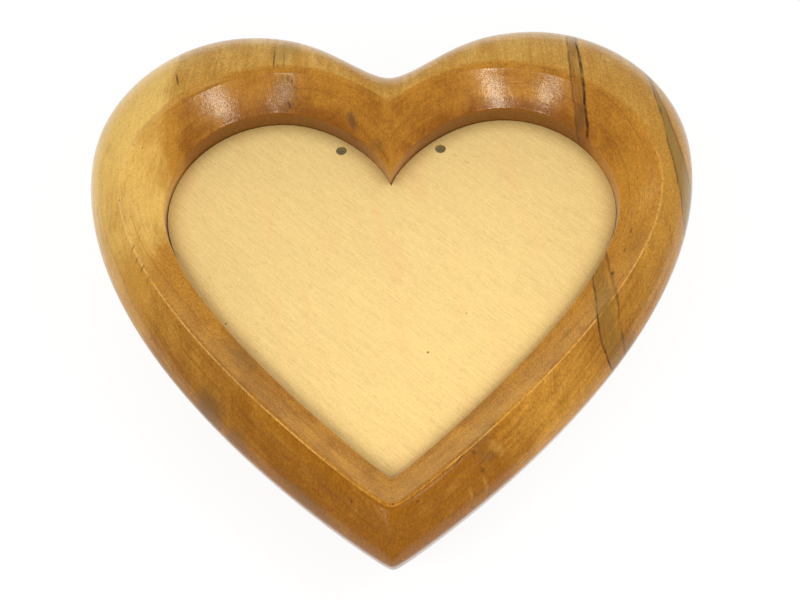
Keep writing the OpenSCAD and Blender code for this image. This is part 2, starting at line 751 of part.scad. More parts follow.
module cylinder_shaft() {
    color("#9aa0a6") in_movement()
        rod(drive_x0, cheek_x + cheek_t, 0, axle_z, shaft_d);
}

// Straight-toothed wheel along +X, with a tooth at angle a from +Y towards +Z
module toothed_wheel(x0, x1, y, z, teeth, pitch_r, add, ded, root_w, tip_w, a, bore) {
    translate([x0, y, z]) rotate([0, 90, 0]) rotate(a) difference() {
        linear_extrude(x1 - x0) union() {
            circle(r = pitch_r - ded, $fn = 4 * teeth);
            for (i = [0:teeth - 1])
                rotate(i * 360 / teeth) translate([0, pitch_r - ded])
                    tooth_shape(root_w, tip_w, add + ded);
        }
        translate([0, 0, -1]) cylinder(d = bore, h = x1 - x0 + 2);
    }
}

module drive_pinion() {
    color("#c8a24a") in_movement()
        toothed_wheel(drive_x0, drive_x1 - 0.1, 0, axle_z, drive_teeth, drive_r,
            tooth_add, tooth_ded, 0.8, 0.36, -90, shaft_d + 2 * seat_fit);
}

module cylinder_wheel() {
    color("#c8a24a") in_movement()
        toothed_wheel(cylinder_end, cylinder_end + wheel_t, 0, axle_z, wheel_teeth,
            wheel_module * wheel_teeth / 2, 0.9 * wheel_module, 1.25 * wheel_module,
            0.62, 0.26, 180 - mesh_angle, shaft_d + 2 * seat_fit);
}

function bracket_screw_x() = bracket_x + cheek_t + 2;
function bracket_screw_y() = cheek_front - 13;

module cylinder_bracket() {
    back = bracket_screw_y() - 2.4;
    top_r = 3;
    color("#c9c6bd") in_movement() difference() {
        union() {
            translate([bracket_x, back, plate_t])
                cube([cheek_t, cheek_front - back, 3.4]);
            translate([bracket_x, -top_r, plate_t])
                cube([cheek_t, 2 * top_r, axle_z - plate_t]);
            rod(bracket_x, bracket_x + cheek_t, 0, axle_z, 2 * top_r);
            translate([bracket_x, back, plate_t]) cube([cheek_t + 4, 4.8, 1]);
        }
        rod(bracket_x - 1, bracket_x + cheek_t + 1, 0, axle_z, shaft_d + 2 * run_fit);
        translate([bracket_screw_x(), bracket_screw_y(), 0]) screw_hole(plate_t - 1, plate_t + 2);
    }
}

module bracket_screw() {
    color("#b9b4a4") in_movement() translate([bracket_screw_x(), bracket_screw_y(), 0])
        machine_screw(plate_t + 1, 1 + machine_screw_l);
}

// One upright cheek: full height at the front, above the fan at the back
module cheek(x) {
    arm_z = fan_top + 2 * face_gap;
    translate([x, cheek_low_back, plate_t])
        cube([cheek_t, cheek_front - cheek_low_back, frame_z - plate_t + eps]);
    translate([x, cheek_high_back, arm_z])
        cube([cheek_t, cheek_front - cheek_high_back, frame_z - arm_z + eps]);
}

module governor_frame() {
    color("#c9c6bd") in_movement() difference() {
        union() {
            cheek(cheek_x);
            cheek(far_cheek_x);
            translate([cheek_x, cheek_low_back, plate_t])
                cube([frame_end - cheek_x, cheek_front - cheek_low_back, frame_floor_t]);
            translate([cheek_x, bridge_back, frame_z])
                cube([frame_end - cheek_x, cheek_front - bridge_back, frame_top - frame_z]);
        }
        rod(cheek_x - 1, cheek_x + cheek_t + 1, 0, axle_z, shaft_d + 2 * run_fit);
        rod(cheek_x - 1, frame_end + 1, governor_y, governor_z, governor_arbor_d + 2 * run_fit);
        translate([worm_x, worm_y, frame_z - 1])
            cylinder(d = worm_pivot_d + 2 * run_fit, h = 3);
        translate([worm_x, worm_y, frame_top - end_stone_t])
            cylinder(d = end_stone_d + 2 * seat_fit, h = 2);
        for (y = FRAME_SCREWS)
            translate([worm_x, y, 0]) screw_hole(plate_t - 1, plate_t + frame_floor_t + 1);
    }
}

module governor_screws() {
    color("#b9b4a4") in_movement() for (y = FRAME_SCREWS) translate([worm_x, y, 0])
        machine_screw(plate_t + frame_floor_t, frame_floor_t + machine_screw_l);
}

module governor_arbor() {
    color("#9aa0a6") in_movement()
        rod(cylinder_end, frame_end, governor_y, governor_z, governor_arbor_d);
}

module governor_pinion() {
    color("#c8a24a") in_movement()
        toothed_wheel(cylinder_end, cylinder_end + wheel_t, governor_y, governor_z,
            governor_teeth, wheel_module * governor_teeth / 2, 0.9 * wheel_module,
            1.25 * wheel_module, 0.62, 0.26, 180 / governor_teeth - mesh_angle,
            governor_arbor_d + 2 * seat_fit);
}

module worm_wheel() {
    color("#efe9d8") in_movement()
        toothed_wheel(worm_wheel_x, worm_wheel_x + worm_wheel_t, governor_y, governor_z,
            worm_wheel_teeth, worm_wheel_r, worm_add, worm_ded, 0.52, 0.2, 180,
            governor_arbor_d + 2 * seat_fit);
}

// Right-handed thread: a thin ridge carried along a helix, then the plain shaft through it
module worm_shaft() {
    steps = 20 * WORM_TURNS;
    r0 = worm_d / 2 - worm_ded - 0.1;
    r1 = worm_d / 2 + worm_add;
    thread_z = governor_z - worm_pitch * WORM_TURNS / 2;
    profile = [[r0, -0.26], [r1, -0.1], [r1, 0.1], [r0, 0.26]];
    rings = [for (i = [0:steps]) let (a = 90 + 360 * WORM_TURNS * i / steps)
        let (rise = worm_pitch * WORM_TURNS * i / steps)
        [for (p = profile) [p[0] * cos(a), p[0] * sin(a), p[1] + rise]]];
    color("#9aa0a6") in_movement() translate([worm_x, worm_y, 0]) union() {
        translate([0, 0, plate_t - 1.3])
            cylinder(d = worm_pivot_d, h = frame_top - end_stone_t - plate_t + 1.25);
        translate([0, 0, plate_t + 0.4])
            cylinder(d = worm_d - 2 * worm_ded, h = frame_z - plate_t - 0.8);
        translate([0, 0, thread_z]) rod_of_rings(rings);
    }
}

// Closed skin over an open row of rings, both ends capped
module rod_of_rings(rings) {
    m = len(rings);
    n = len(rings[0]);
    points = [for (r = rings) each r];
    sides = [for (j = [0:m - 2]) for (i = [0:n - 1]) let (l = (i + 1) % n)
        each [[j * n + i, (j + 1) * n + l, (j + 1) * n + i], [j * n + i, j * n + l, (j + 1) * n + l]]];
    caps = [[for (i = [n - 1:-1:0]) i], [for (i = [0:n - 1]) (m - 1) * n + i]];
    polyhedron(points, concat(sides, caps));
}

module fan() {
    color("#d8b45c") in_movement() translate([worm_x, worm_y, fan_z]) difference() {
        union() {
            cylinder(d = worm_d - 2 * worm_ded + 1, h = fan_h);
            translate([-fan_span / 2, -fan_t / 2, 0]) cube([fan_span, fan_t, fan_h]);
        }
        translate([0, 0, -1]) cylinder(d = worm_d - 2 * worm_ded + 2 * seat_fit, h = fan_h + 2);
    }
}

module end_stone() {
    color("#a8324a") in_movement() translate([worm_x, worm_y, frame_top - end_stone_t])
        cylinder(d = end_stone_d, h = end_stone_t);
}

// ---------- what is drawn ----------

heart_case();
soundboard();
soundboard_screws();
base_board();
base_screws();
felt_pads();
bedplate();
movement_screws();
spring_barrel();
barrel_cap();
mainspring();
winding_arbor();
clutch_spring();
winding_key();
barrel_bridge();
bridge_screws();
comb();
comb_screws();
pin_cylinder();
cylinder_shaft();
drive_pinion();
cylinder_wheel();
cylinder_bracket();
bracket_screw();
governor_frame();
governor_screws();
governor_arbor();
governor_pinion();
worm_wheel();
worm_shaft();
fan();
end_stone();
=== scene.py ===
"""Looks of the heart-shaped wind-up music box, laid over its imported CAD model.

Lengths in the property groups are in metres; the helper functions below take millimetres.
"""
import json
import math

import bpy
import numpy as np
from mathutils import Matrix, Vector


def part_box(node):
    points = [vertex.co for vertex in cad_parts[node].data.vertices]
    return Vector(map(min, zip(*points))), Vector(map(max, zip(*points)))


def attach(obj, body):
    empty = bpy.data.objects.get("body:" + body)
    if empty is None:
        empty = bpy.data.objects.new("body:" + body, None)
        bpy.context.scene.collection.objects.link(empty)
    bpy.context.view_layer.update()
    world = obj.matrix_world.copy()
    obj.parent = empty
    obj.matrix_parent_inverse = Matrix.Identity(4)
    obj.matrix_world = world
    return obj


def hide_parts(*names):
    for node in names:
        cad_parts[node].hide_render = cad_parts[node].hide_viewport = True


bl_info = {
    "name": "Heart Music Box Looks",
    "version": (1, 0, 0),
    "blender": (4, 5, 0),
    "location": "View3D > Sidebar > Music Box",
    "description": "Carved wooden case, key and movement finishes of a wind-up music box",
    "category": "Object",
}

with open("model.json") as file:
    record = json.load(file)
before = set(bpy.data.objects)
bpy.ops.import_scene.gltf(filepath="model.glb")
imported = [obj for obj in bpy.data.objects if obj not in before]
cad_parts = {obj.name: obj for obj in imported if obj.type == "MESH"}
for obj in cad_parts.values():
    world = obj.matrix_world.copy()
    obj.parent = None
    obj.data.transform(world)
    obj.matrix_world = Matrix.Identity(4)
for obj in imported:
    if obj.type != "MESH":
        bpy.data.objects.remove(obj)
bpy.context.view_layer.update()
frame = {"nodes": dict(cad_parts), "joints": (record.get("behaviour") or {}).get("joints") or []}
CASE_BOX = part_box("heart_case")
MM = 0.001
WHITE = (1, 1, 1)
TABLE_RADIUS = 2.5          # in metres
LAMP_SIZE = (0.032, 0.062)  # across and up, in metres


# ---------- property helpers ----------

def length(name, description, mm):
    """A length property with a default in millimetres."""
    return bpy.props.FloatProperty(
        name=name, description=description, default=mm * MM, unit="LENGTH", precision=5)


def share(name, description, value, high=1.0):
    """A plain number from 0 to high."""
    return bpy.props.FloatProperty(
        name=name, description=description, default=value, min=0.0, max=high, subtype="FACTOR")


def linear(rgb):
    """Screen colour, 0 to 255, as linear light."""
    c = np.asarray(rgb, float) / 255.0
    return tuple(np.where(c <= 0.04045, c / 12.92, ((c + 0.055) / 1.055) ** 2.4).tolist())


def colour(name, description, rgb):
    """A colour property with a default on the screen's 0 to 255 scale."""
    return bpy.props.FloatVectorProperty(
        name=name, description=description, default=linear(rgb), size=3, min=0.0, max=1.0,
        subtype="COLOR")


# ---------- property groups ----------

class MusicBoxCase(bpy.types.PropertyGroup):
    width: length("Width", "Full width of the case", (CASE_BOX[1].x - CASE_BOX[0].x) / MM)
    length: length("Length", "Lobe tops to tip", (CASE_BOX[1].y - CASE_BOX[0].y) / MM)
    top: length("Top", "Height of the crest above the table", CASE_BOX[1].z / MM)
    rim: length("Rim height", "Height of the resting rim above the table", CASE_BOX[0].z / MM)
    lobe_x: length("Lobe place", "Distance of each lobe's top from the middle line", 61)
    side_y: length("Side height", "Height of the widest line above the middle", 51.5)
    cleft: length("Cleft depth", "Depth of the outer cleft below the lobe tops", 26.5)
    shoulder: length("Shoulder", "Height of the rounded shoulder", 12)
    facet: share("Shoulder facet", "Flatness of the lower shoulder next to the crest", 0.5)
    band_side: length("Band at the sides", "Width of the outer band at the sides", 16)
    band_top: length("Band at the top", "Width of the outer band at the lobe tops", 26.5)
    band_tip: length("Band at the tip", "Width of the outer band at the tip", 15.5)
    band_cleft: length("Band at the cleft", "Width of the outer band at the cleft", 20)
    crest_lobe_x: length("Crest lobe place", "Distance of the crest's lobe top", 42.5)
    crest_side_y: length("Crest side height", "Height of the crest's widest line", 34)
    slope_side: length("Slope at the sides", "Width of the inner slope at the sides", 14)
    slope_top: length("Slope at the top", "Width of the inner slope at the lobe tops", 12.5)
    slope_tip: length("Slope at the tip", "Width of the inner slope at the tip", 16)
    slope_cleft: length("Slope at the cleft", "Width of the inner slope at the cleft", 25)
    slope_h: length("Slope height", "Height of the inner slope", 13)
    opening_lobe_x: length("Opening lobe place", "Distance of the opening's lobe top", 46)
    opening_side_y: length("Opening side height", "Height of the opening's widest line", 32)
    crest_round: length("Crest rounding", "Reach of the rounding on each side of the crest", 1.7)
    lip_round: length("Lip rounding", "Reach of the rounding at the foot of the slope", 0.9)
    rim_round: length("Rim rounding", "Reach of the rounding at the resting rim", 1.2)
    hollow: length("Slope hollow", "Depth of the carved hollow in the inner slope", 0.7)


class MusicBoxWood(bpy.types.PropertyGroup):
    sap: colour("Sapwood", "Pale straw wood of the upper left", (244, 200, 106))
    honey: colour("Honey wood", "Main colour of the case", (197, 141, 50))
    amber: colour("Amber wood", "Deeper wood near the tip and the cleft", (146, 89, 1))
    ring: colour("Growth line", "Dark edge of a growth ring", (106, 60, 16))
    # also the colour of the painted shade at the foot of the upper slopes
    smoke_and_shade: colour("Smoky patch", "Grey brown of the smoky patches", (112, 82, 40))
    streak: colour("Olive streak", "Colour of the streak across the lower right", (130, 96, 32))
    streak_warm: colour("Warm streak", "Colour of the streak at the right lobe", (126, 78, 22))
    streak_pale: colour("Pale streak", "Colour of the streak by the rim", (154, 122, 58))
    # colour of the painted highlight along the crest
    crest_highlight: colour("Crest highlight", "Painted highlight along the crest", (240, 200, 134))
    streak_edge: colour("Streak edge", "Dark line along a streak", (66, 38, 12))
    gloss: share("Varnish roughness", "Roughness of the varnish", 0.18)
    ply: colour("Soundboard", "Raw birch face", (247, 215, 144))
    fleck: colour("Soundboard fleck", "Short darker flecks in the birch", (206, 166, 96))
    ply_warm: colour("Warm band", "Warmer long bands of the birch", (248, 205, 140))
    ply_edge: colour("Glue line", "Darker plies on the edge of the plywood", (150, 108, 60))
    ply_mark: colour("Board mark", "Dots and scratches on the soundboard", (96, 62, 26))
    base_ply: colour("Base board", "Raw plywood of the base", (214, 182, 128))
    base_fleck: colour("Base board fleck", "Darker flecks of the base board", (166, 126, 78))


class MusicBoxMetal(bpy.types.PropertyGroup):
    brass: colour("Brass", "Barrel, wheels and cylinder", (206, 168, 92))
    steel: colour("Bright steel", "Shafts and the comb", (188, 190, 194))
    spring: colour("Spring steel", "Mainspring and clutch spring", (112, 120, 134))
    zinc: colour("Zinc plate", "Straps, brackets and screws", (200, 198, 190))
    cast: colour("Cast plate", "Bedplate", (190, 188, 182))
    key: colour("Key", "Nickel-plated key", (206, 201, 190))
    screw: colour("Board screw", "Dull head of the soundboard screws", (134, 122, 80))


class MusicBoxStudio(bpy.types.PropertyGroup):
    dome: share("Sky light", "Level of the white surroundings on the object", 0.78, 2.0)
    ceiling: share("Ceiling", "Brightness of the ceiling in mirrored light", 0.10)
    lamp: share("Lamp power", "Power of each small soft lamp, in watts", 0.13, 5.0)
    lens: bpy.props.FloatProperty(
        name="Lens", description="Focal length on a 36 mm wide sensor", default=48.95,
        unit="CAMERA")


# ---------- surfaces ----------

def bezier(a, b, c, d, t):
    """Cubic curve: u^3 a + 3 u^2 t b + 3 u t^2 c + t^3 d, where u is 1 - t."""
    t = np.asarray(t, float)[:, None]
    u = 1 - t
    a, b, c, d = (np.asarray(p, float) for p in (a, b, c, d))
    return u ** 3 * a + 3 * u * u * t * b + 3 * u * t * t * c + t ** 3 * d


STEPS = (84, 72, 100)     # points along cleft to lobe, lobe to side, side to tip
OPENING_LEAN = 0.2        # lengths in mm from here on: shift of the opening to the left
LEDGE_DEPTH = 24.0        # crest to the foot of the opening's wall
WALL = 11.0               # height of that wall
BASE_RECESS = 14.5        # resting rim to the ceiling of the base board's recess
RIM_WIDTH = 9.0
BOWL_PULL = 14            # how far the bowl's ends run upright
PLY = 0.7                 # thickness of one ply
SHADE_REACH = 9            # how far from a wall the painted shade on the board reaches

# marks in the wood, in mm: centre, half sizes, turn in degrees, strength (and raggedness)
SMUDGES = (
    ((-44, 100, 60), (8, 12, 20), 0, 0.32, 0.5),
    ((-43, 82, 57), (8, 11, 10), 0, 0.42, 0.7),
    ((77.4, 68, 55), (2.8, 12, 9), -6, 0.75, 0.3),
    ((-15.5, 69, 56), (2.4, 5.5, 8), 20, 0.75, 1.1),
    ((-6, 57, 55), (4, 4, 6), 0, 0.45, 1.2),
    ((-64, -59, 57), (7, 10, 14), 35, 0.62, 0.9),
    ((-54, -71, 56), (6, 7, 14), 35, 0.40, 0.6),
    ((-54, -37, 55), (7.5, 12, 10), 32, 0.50, 1.1),
    ((85, -37, 57), (5, 8, 9), -20, 0.45, 0.6),
    ((32, -80, 60), (4, 3, 9), 20, 0.40, 1.2),
    ((92, 5, 58), (6, 16, 14), -12, 0.20, 0.6),
    ((30, -74, 60), (5, 9, 14), -30, 0.35, 1.0),
    ((-28, -93, 60), (22, 2.2, 14), -42, 0.45, 0.9),
)
DASHES = (
    ((-87, 85.5, 62), (0.55, 4.4, 6), 12, 0.75),
    ((-47.6, 95, 62), (0.5, 7.5, 6), 0, 0.62),
    ((-43.4, 94, 62), (0.4, 6.0, 6), 0, 0.45),
    ((-41.7, 79, 54), (0.6, 1.6, 5), 25, 0.75),
    ((-41.9, 86.6, 61), (0.7, 0.9, 3), 0, 0.42),
    ((-40.2, 85.8, 60), (0.6, 1.1, 3), 20, 0.42),
    ((-39.4, 84.2, 59), (0.6, 0.7, 3), 0, 0.38),
    ((22.4, -82.4, 63), (0.40, 4.6, 6), -36, 0.55),
    ((27.5, -79.5, 62), (1.1, 0.9, 6), 0, 0.40),
    ((30.5, -84.5, 61), (1.5, 1.3, 6), 20, 0.34),
    ((0.5, -97.0, 62), (0.5, 0.7, 6), 0, 0.6),
    ((8.6, -96.0, 61), (0.6, 0.5, 6), 0, 0.6),
    ((-96.0, 4.0, 62), (0.4, 2.6, 6), -10, 0.5),
    ((-94.0, -1.5, 62), (0.4, 2.2, 6), -12, 0.45),
    ((-91.5, -5.0, 62), (0.5, 2.4, 6), -14, 0.5),
    ((-89.0, -10.0, 62), (0.4, 2.2, 6), -16, 0.4),
    ((82.3, -7.4, 58), (0.8, 1.6, 5), -15, 0.8),
    ((91.5, 12.0, 57), (0.4, 2.0, 6), -20, 0.6),
    ((88.0, 3.0, 57), (0.35, 1.6, 6), -20, 0.5),
)
BOARD_MARKS = (
    ((-62.9, -18.5, 44), (0.5, 0.5, 3), 0, 0.8),
    ((13.3, -32.1, 44), (0.6, 0.6, 3), 0, 0.8),
    ((28.2, -15.8, 44), (0.5, 0.5, 3), 0, 0.5),
    ((26.5, 58.5, 44), (0.3, 1.6, 3), 55, 0.4),
    ((31.0, 55.0, 44), (0.3, 1.9, 3), 55, 0.35),
    ((36.0, 57.5, 44), (0.25, 1.4, 3), 55, 0.3),
)
PALE = (
    ((31, -72, 62), (5.5, 3.0, 6), 30, 0.14),
    ((35.5, -77, 61), (5.0, 2.6, 6), -30, 0.13),
    ((31.5, -88.5, 59), (1.1, 3.0, 6), 20, 0.18),
    ((26.5, -92.0, 58), (1.0, 2.8, 6), 15, 0.12),
)

# mineral streaks: left plane, right plane, reach, fill, colour, strengths of the edge lines
STREAKS = (
    ((86.4, 0.0, -0.2), (87.4, -0.03, -0.1), (88, 26, 3), (0.25, 0.66, 0.9), "streak_warm",
     (0.6, 1.0)),
    ((86.4, 0.0, -0.2), (87.4, -0.03, -0.1), (-18, 26, 4), (0.38, 0.85, 0.3), "streak",
     (0.95, 0.5)),
    ((112.6, -0.072, 0.0), (121.8, -0.172, 0.0), (48, 40, 8), (0.55, 1.0, 1.0), "streak_pale",
     (0.6, 0.4)),
)


def heart(h, cleft_soft, tip_soft):
    """Closed heart outline, clockwise from the cleft.

    h holds half width, cleft, lobe x, top, side y, tip, cleft angle, cleft pull, flank pull.
    Three cubic curves make the right half, which is mirrored. At the middle line the corner
    y = m |x| becomes y = m sqrt(x^2 + e^2), with e the softness there.
    """
    cleft, lobe = np.array([0, h[1]]), np.array([h[2], h[3]])
    side, tip = np.array([h[0], h[4]]), np.array([0, h[5]])
    angle = math.radians(h[6])
    rise = h[7] * h[2] * np.array([math.cos(angle), math.sin(angle)])
    near = np.linspace(0, 1, STEPS[0], endpoint=False) ** 1.5
    over = np.linspace(0, 1, STEPS[1], endpoint=False)
    down = np.linspace(0, 1, STEPS[2] + 1)
    flank = side - [0, h[8] * (h[4] - h[5])]
    right = np.concatenate([
        bezier(cleft, cleft + rise, lobe - [0.5 * h[2], 0], lobe, near),
        bezier(lobe, lobe + [0.55 * (h[0] - h[2]), 0], side + [0, 0.55 * (h[3] - h[4])], side,
               over),
        bezier(side, flank, tip, tip, down)])
    x = right[:, 0]
    above = right[:, 1] > h[4]
    right[:, 1] += np.where(above, math.tan(angle) * (np.hypot(x, cleft_soft) - x),
                            (flank - tip)[1] / h[0] * (np.hypot(x, tip_soft) - x))
    return np.concatenate([right, right[-2:0:-1] * [-1, 1]])


def inset(h, d):
    """The same heart moved inwards by d all round; the cleft moves by 1.4 d, the tip by 1.35 d."""
    return [h[0] - d, h[1] - 1.4 * d, h[2], h[3] - d, h[4], h[5] + 1.35 * d, h[6], h[7], h[8]]


def fillet(before, corner, after, reach_before, reach_after, steps):
    """Rounded corner: a quadratic curve from a point before the corner to one after it."""
    t = np.linspace(0, 1, steps)[:, None]
    a = corner + (before - corner) * reach_before
    b = corner + (after - corner) * reach_after
    return (1 - t) ** 2 * a + 2 * t * (1 - t) * corner + t ** 2 * b


def stretch(a, b, steps):
    """Straight run from a to b, its ends left out."""
    t = np.linspace(0, 1, steps + 2)[1:-1, None]
    return a + (b - a) * t


def grid_faces(rows, columns, closed_rows=False):
    """Quads of a grid of rows by columns, wrapped round its columns and, if closed, its rows."""
    j = np.arange(rows if closed_rows else rows - 1)[:, None]
    i = np.arange(columns)[None, :]
    k, l = (j + 1) % rows, (i + 1) % columns
    quads = np.stack([j * columns + i, j * columns + l, k * columns + l, k * columns + i], -1)
    return quads.reshape(-1, 4)


def caps(rows, columns):
    """The two poles that close the ends of a grid of rows by columns."""
    return [(np.arange(columns), True), (np.arange((rows - 1) * columns, rows * columns), False)]


def unit(vectors):
    """The vectors, or the rows of vectors, at length 1."""
    return vectors / np.linalg.norm(vectors, axis=-1, keepdims=True)


def circle(steps):
    """Angles once round a circle, the last left out."""
    return np.linspace(0, 2 * math.pi, steps, endpoint=False)


def soft_square(steps, power):
    """Across and up offsets round a square of half size 1, its corners rounded by power."""
    a = circle(steps)
    return [np.sign(v) * np.abs(v) ** power for v in (np.cos(a), np.sin(a))]


def place(thing, right, up, back, position):
    """Puts a lamp or camera at position in mm, with its own axes along right, up and back."""
    axes = np.stack([right, up, back, np.array(position) * MM], 1).tolist()
    thing.matrix_world = Matrix(axes + [(0, 0, 0, 1)])
    bpy.context.scene.collection.objects.link(thing)


def signed_volume(points, triangles):
    """Sum of a . (b x c) / 6 over the triangles: positive when they face outwards."""
    a, b, c = points[triangles].transpose(1, 0, 2)
    return float(np.einsum("ij,ij->", a, np.cross(b, c))) / 6


def make_piece(name, parts, material, body, nodes):
    """One mesh object from closed parts given as (points in mm, quads, poles).

    A pole is a ring of point numbers that is closed by a fan to its middle. Each part is
    turned outwards by the sign of its volume.
    """
    all_points, all_faces, start = [], [], 0
    for points, quads, poles in parts:
        points = np.asarray(points, float)
        triangles = [quads[:, [0, 1, 2]], quads[:, [0, 2, 3]]]
        for pole, flip in poles:
            middle = len(points)
            points = np.vstack([points, points[pole].mean(0)])
            fan = np.column_stack([pole, np.roll(pole, -1), np.full(len(pole), middle)])
            triangles.append(fan[:, ::-1] if flip else fan)
        faces = np.concatenate(triangles)
        if signed_volume(points, faces) < 0:
            faces = faces[:, ::-1]
        all_points.append(points)
        all_faces.append(faces + start)
        start += len(points)
    points, faces = np.concatenate(all_points) * MM, np.concatenate(all_faces)
    mesh = bpy.data.meshes.new(name)
    mesh.vertices.add(len(points))
    mesh.vertices.foreach_set("co", points.astype(np.float32).ravel())
    mesh.loops.add(faces.size)
    mesh.loops.foreach_set("vertex_index", faces.astype(np.int32).ravel())
    mesh.polygons.add(len(faces))
    mesh.polygons.foreach_set("loop_start", np.arange(0, faces.size, 3, dtype=np.int32))
    mesh.polygons.foreach_set("use_smooth", np.ones(len(faces), bool))
    mesh.update(calc_edges=True)
    mesh.validate()
    piece = bpy.data.objects.new(name, mesh)
    bpy.context.scene.collection.objects.link(piece)
    piece.data.materials.append(material)
    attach(piece, body)
    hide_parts(*nodes)


def turned(profile, centre, steps=64):
    """Lathe-turned part: profile points (radius, z) carried once round a vertical axis."""
    a, profile = circle(steps), np.asarray(profile, float)
    x = centre[0] + profile[:, :1] * np.cos(a)
    y = centre[1] + profile[:, :1] * np.sin(a)
    z = centre[2] + np.repeat(profile[:, 1:], steps, 1)
    points = np.stack([x, y, z], -1).reshape(-1, 3)
    return points, grid_faces(len(profile), steps), caps(len(profile), steps)


def swept(path, normals, binormals, section, closed):
    """A section of (side, up) offsets carried along a path with its own side and up vectors."""
    path, section = np.asarray(path, float), np.asarray(section, float)
    points = (path[:, None, :] + section[None, :, :1] * normals[:, None, :]
              + section[None, :, 1:] * binormals[:, None, :])
    rows, columns = points.shape[:2]
    poles = [] if closed else caps(rows, columns)
    return points.reshape(-1, 3), grid_faces(rows, columns, closed_rows=closed), poles


# ---------- materials ----------

class Nodes:
    """A node tree under construction, for a material or the world."""

    def __init__(self, owner):
        owner.use_nodes = True
        self.tree = owner.node_tree
        self.tree.nodes.clear()

    def add(self, kind, *sockets, **settings):
        """A new node with its settings, and its inputs given as pairs (name or number, source)."""
        node = self.tree.nodes.new(kind)
        for key, value in settings.items():
            setattr(node, key, value)
        for key, source in sockets:
            self.link(source, node.inputs[key])
        return node

    def link(self, source, target):
        """Links a socket, or a node's first output, to target, or sets target to a value."""
        if isinstance(source, bpy.types.Node):
            source = source.outputs[0]
        if isinstance(source, bpy.types.NodeSocket):
            self.tree.links.new(source, target)
        elif isinstance(source, (int, float)):
            target.default_value = source
        else:
            target.default_value = (*source, 1.0)[:len(target.default_value)]

    def split(self, vector):
        """The x, y and z of vector."""
        return self.add("ShaderNodeSeparateXYZ", (0, vector)).outputs

    def math(self, operation, *values, clamp=False):
        """The operation done on the values."""
        return self.add("ShaderNodeMath", *enumerate(values), operation=operation,
                        use_clamp=clamp).outputs[0]

    def chain(self, operation, terms):
        """The operation carried through the terms from the first to the last."""
        total = terms[0]
        for term in terms[1:]:
            total = self.math(operation, total, term)
        return total

    def sum(self, *terms):
        """The terms added up."""
        return self.chain("ADD", terms)

    def times(self, *terms):
        """The terms multiplied."""
        return self.chain("MULTIPLY", terms)

    def less(self, a, b):
        """a - b."""
        return self.math("SUBTRACT", a, b)

    def most(self, a, b):
        """The larger of a and b."""
        return self.math("MAXIMUM", a, b)

    def line(self, value, slope, start):
        """start + slope * value."""
        return self.math("MULTIPLY_ADD", value, slope, start)

    def step(self, value, low, high, out_low=0.0, out_high=1.0):
        """Smooth step from out_low at low to out_high at high."""
        return self.add("ShaderNodeMapRange", *enumerate((value, low, high, out_low, out_high)),
                        interpolation_type="SMOOTHSTEP").outputs[0]

    def fall(self, value, low, high):
        """Smooth step down, from 1 at low to 0 at high."""
        return self.step(value, low, high, 1.0, 0.0)

    def rays(self, *kinds):
        """1 for the given kinds of ray, 0 for the others."""
        path = self.add("ShaderNodeLightPath").outputs
        return self.chain("MAXIMUM", [path[f"Is {kind} Ray"] for kind in kinds])

    def blend(self, amount, a, b):
        """Shader a with amount of shader b."""
        return self.add("ShaderNodeMixShader", (0, amount), (1, a), (2, b))


class Finish(Nodes):
    """A material under construction. Numbers are in millimetres on Object coordinates."""

    def __init__(self, name):
        self.material = bpy.data.materials.new(name)
        super().__init__(self.material)
        self.shader = self.add("ShaderNodeBsdfPrincipled")
        self.add("ShaderNodeOutputMaterial", ("Surface", self.shader))
        coordinates = self.add("ShaderNodeTexCoord").outputs["Object"]
        self.mm = self.mapped(coordinates, scale=(1000, 1000, 1000))
        self.x, self.y, self.z = self.split(self.mm)

    def mapped(self, vector, location=(0, 0, 0), turn=(0, 0, 0), scale=(1, 1, 1), kind="POINT"):
        """vector through a Mapping node, turned by turn degrees."""
        return self.add("ShaderNodeMapping", ("Vector", vector), ("Location", location),
                        ("Rotation", [math.radians(r) for r in turn]), ("Scale", scale),
                        vector_type=kind).outputs[0]

    def noise(self, vector, detail=2.0, rough=0.5, warp=0.0):
        """Noise round 0.5 whose blobs measure one unit of vector."""
        return self.add("ShaderNodeTexNoise", ("Vector", vector), ("Scale", 1.0),
                        ("Detail", detail), ("Roughness", rough),
                        ("Distortion", warp)).outputs[0]

    def grain(self, size, detail=2.0, rough=0.5, warp=0.0, turn=(0, 0, 0), shift=(0, 0, 0)):
        """Noise whose blobs measure size (x, y, z) in mm, turned by turn degrees."""
        moved = self.mm
        if any(turn) or any(shift):
            moved = self.mapped(moved, location=shift, turn=turn)
        return self.noise(self.mapped(moved, scale=[1 / s for s in size]), detail, rough, warp)

    def mix(self, amount, a, b, blend="MIX"):
        """Colour a with amount of colour b."""
        return self.add("ShaderNodeMix", (0, amount), (6, a), (7, b), data_type="RGBA",
                        blend_type=blend).outputs[2]

    def tint(self, base, amount, strength):
        """base made lighter or darker by amount, a number round 0.5, times strength."""
        factor = self.line(amount, strength, 1.0 - strength / 2)
        return self.add("ShaderNodeVectorMath", (0, base), ("Scale", factor),
                        operation="SCALE").outputs[0]

    def bump(self, height, distance):
        """Relief from a height of 0 to 1 that stands for distance in mm."""
        node = self.add("ShaderNodeBump", ("Height", height), ("Distance", distance * MM),
                        ("Strength", 1.0))
        normal = self.shader.inputs["Normal"]
        if normal.is_linked:
            self.link(normal.links[0].from_socket, node.inputs["Normal"])
        self.link(node, normal)

    def set(self, **values):
        """Sets the shader's sockets, named by the keys of SOCKETS, and gives the material."""
        for key, value in values.items():
            self.link(value, self.shader.inputs[SOCKETS[key]])
        return self.material


SOCKETS = {"base": "Base Color", "rough": "Roughness", "metal": "Metallic",
           "coat": "Coat Weight", "coat_rough": "Coat Roughness", "coat_ior": "Coat IOR",
           "specular": "Specular IOR Level", "sheen": "Sheen Weight",
           "sheen_rough": "Sheen Roughness", "subsurface": "Subsurface Weight"}


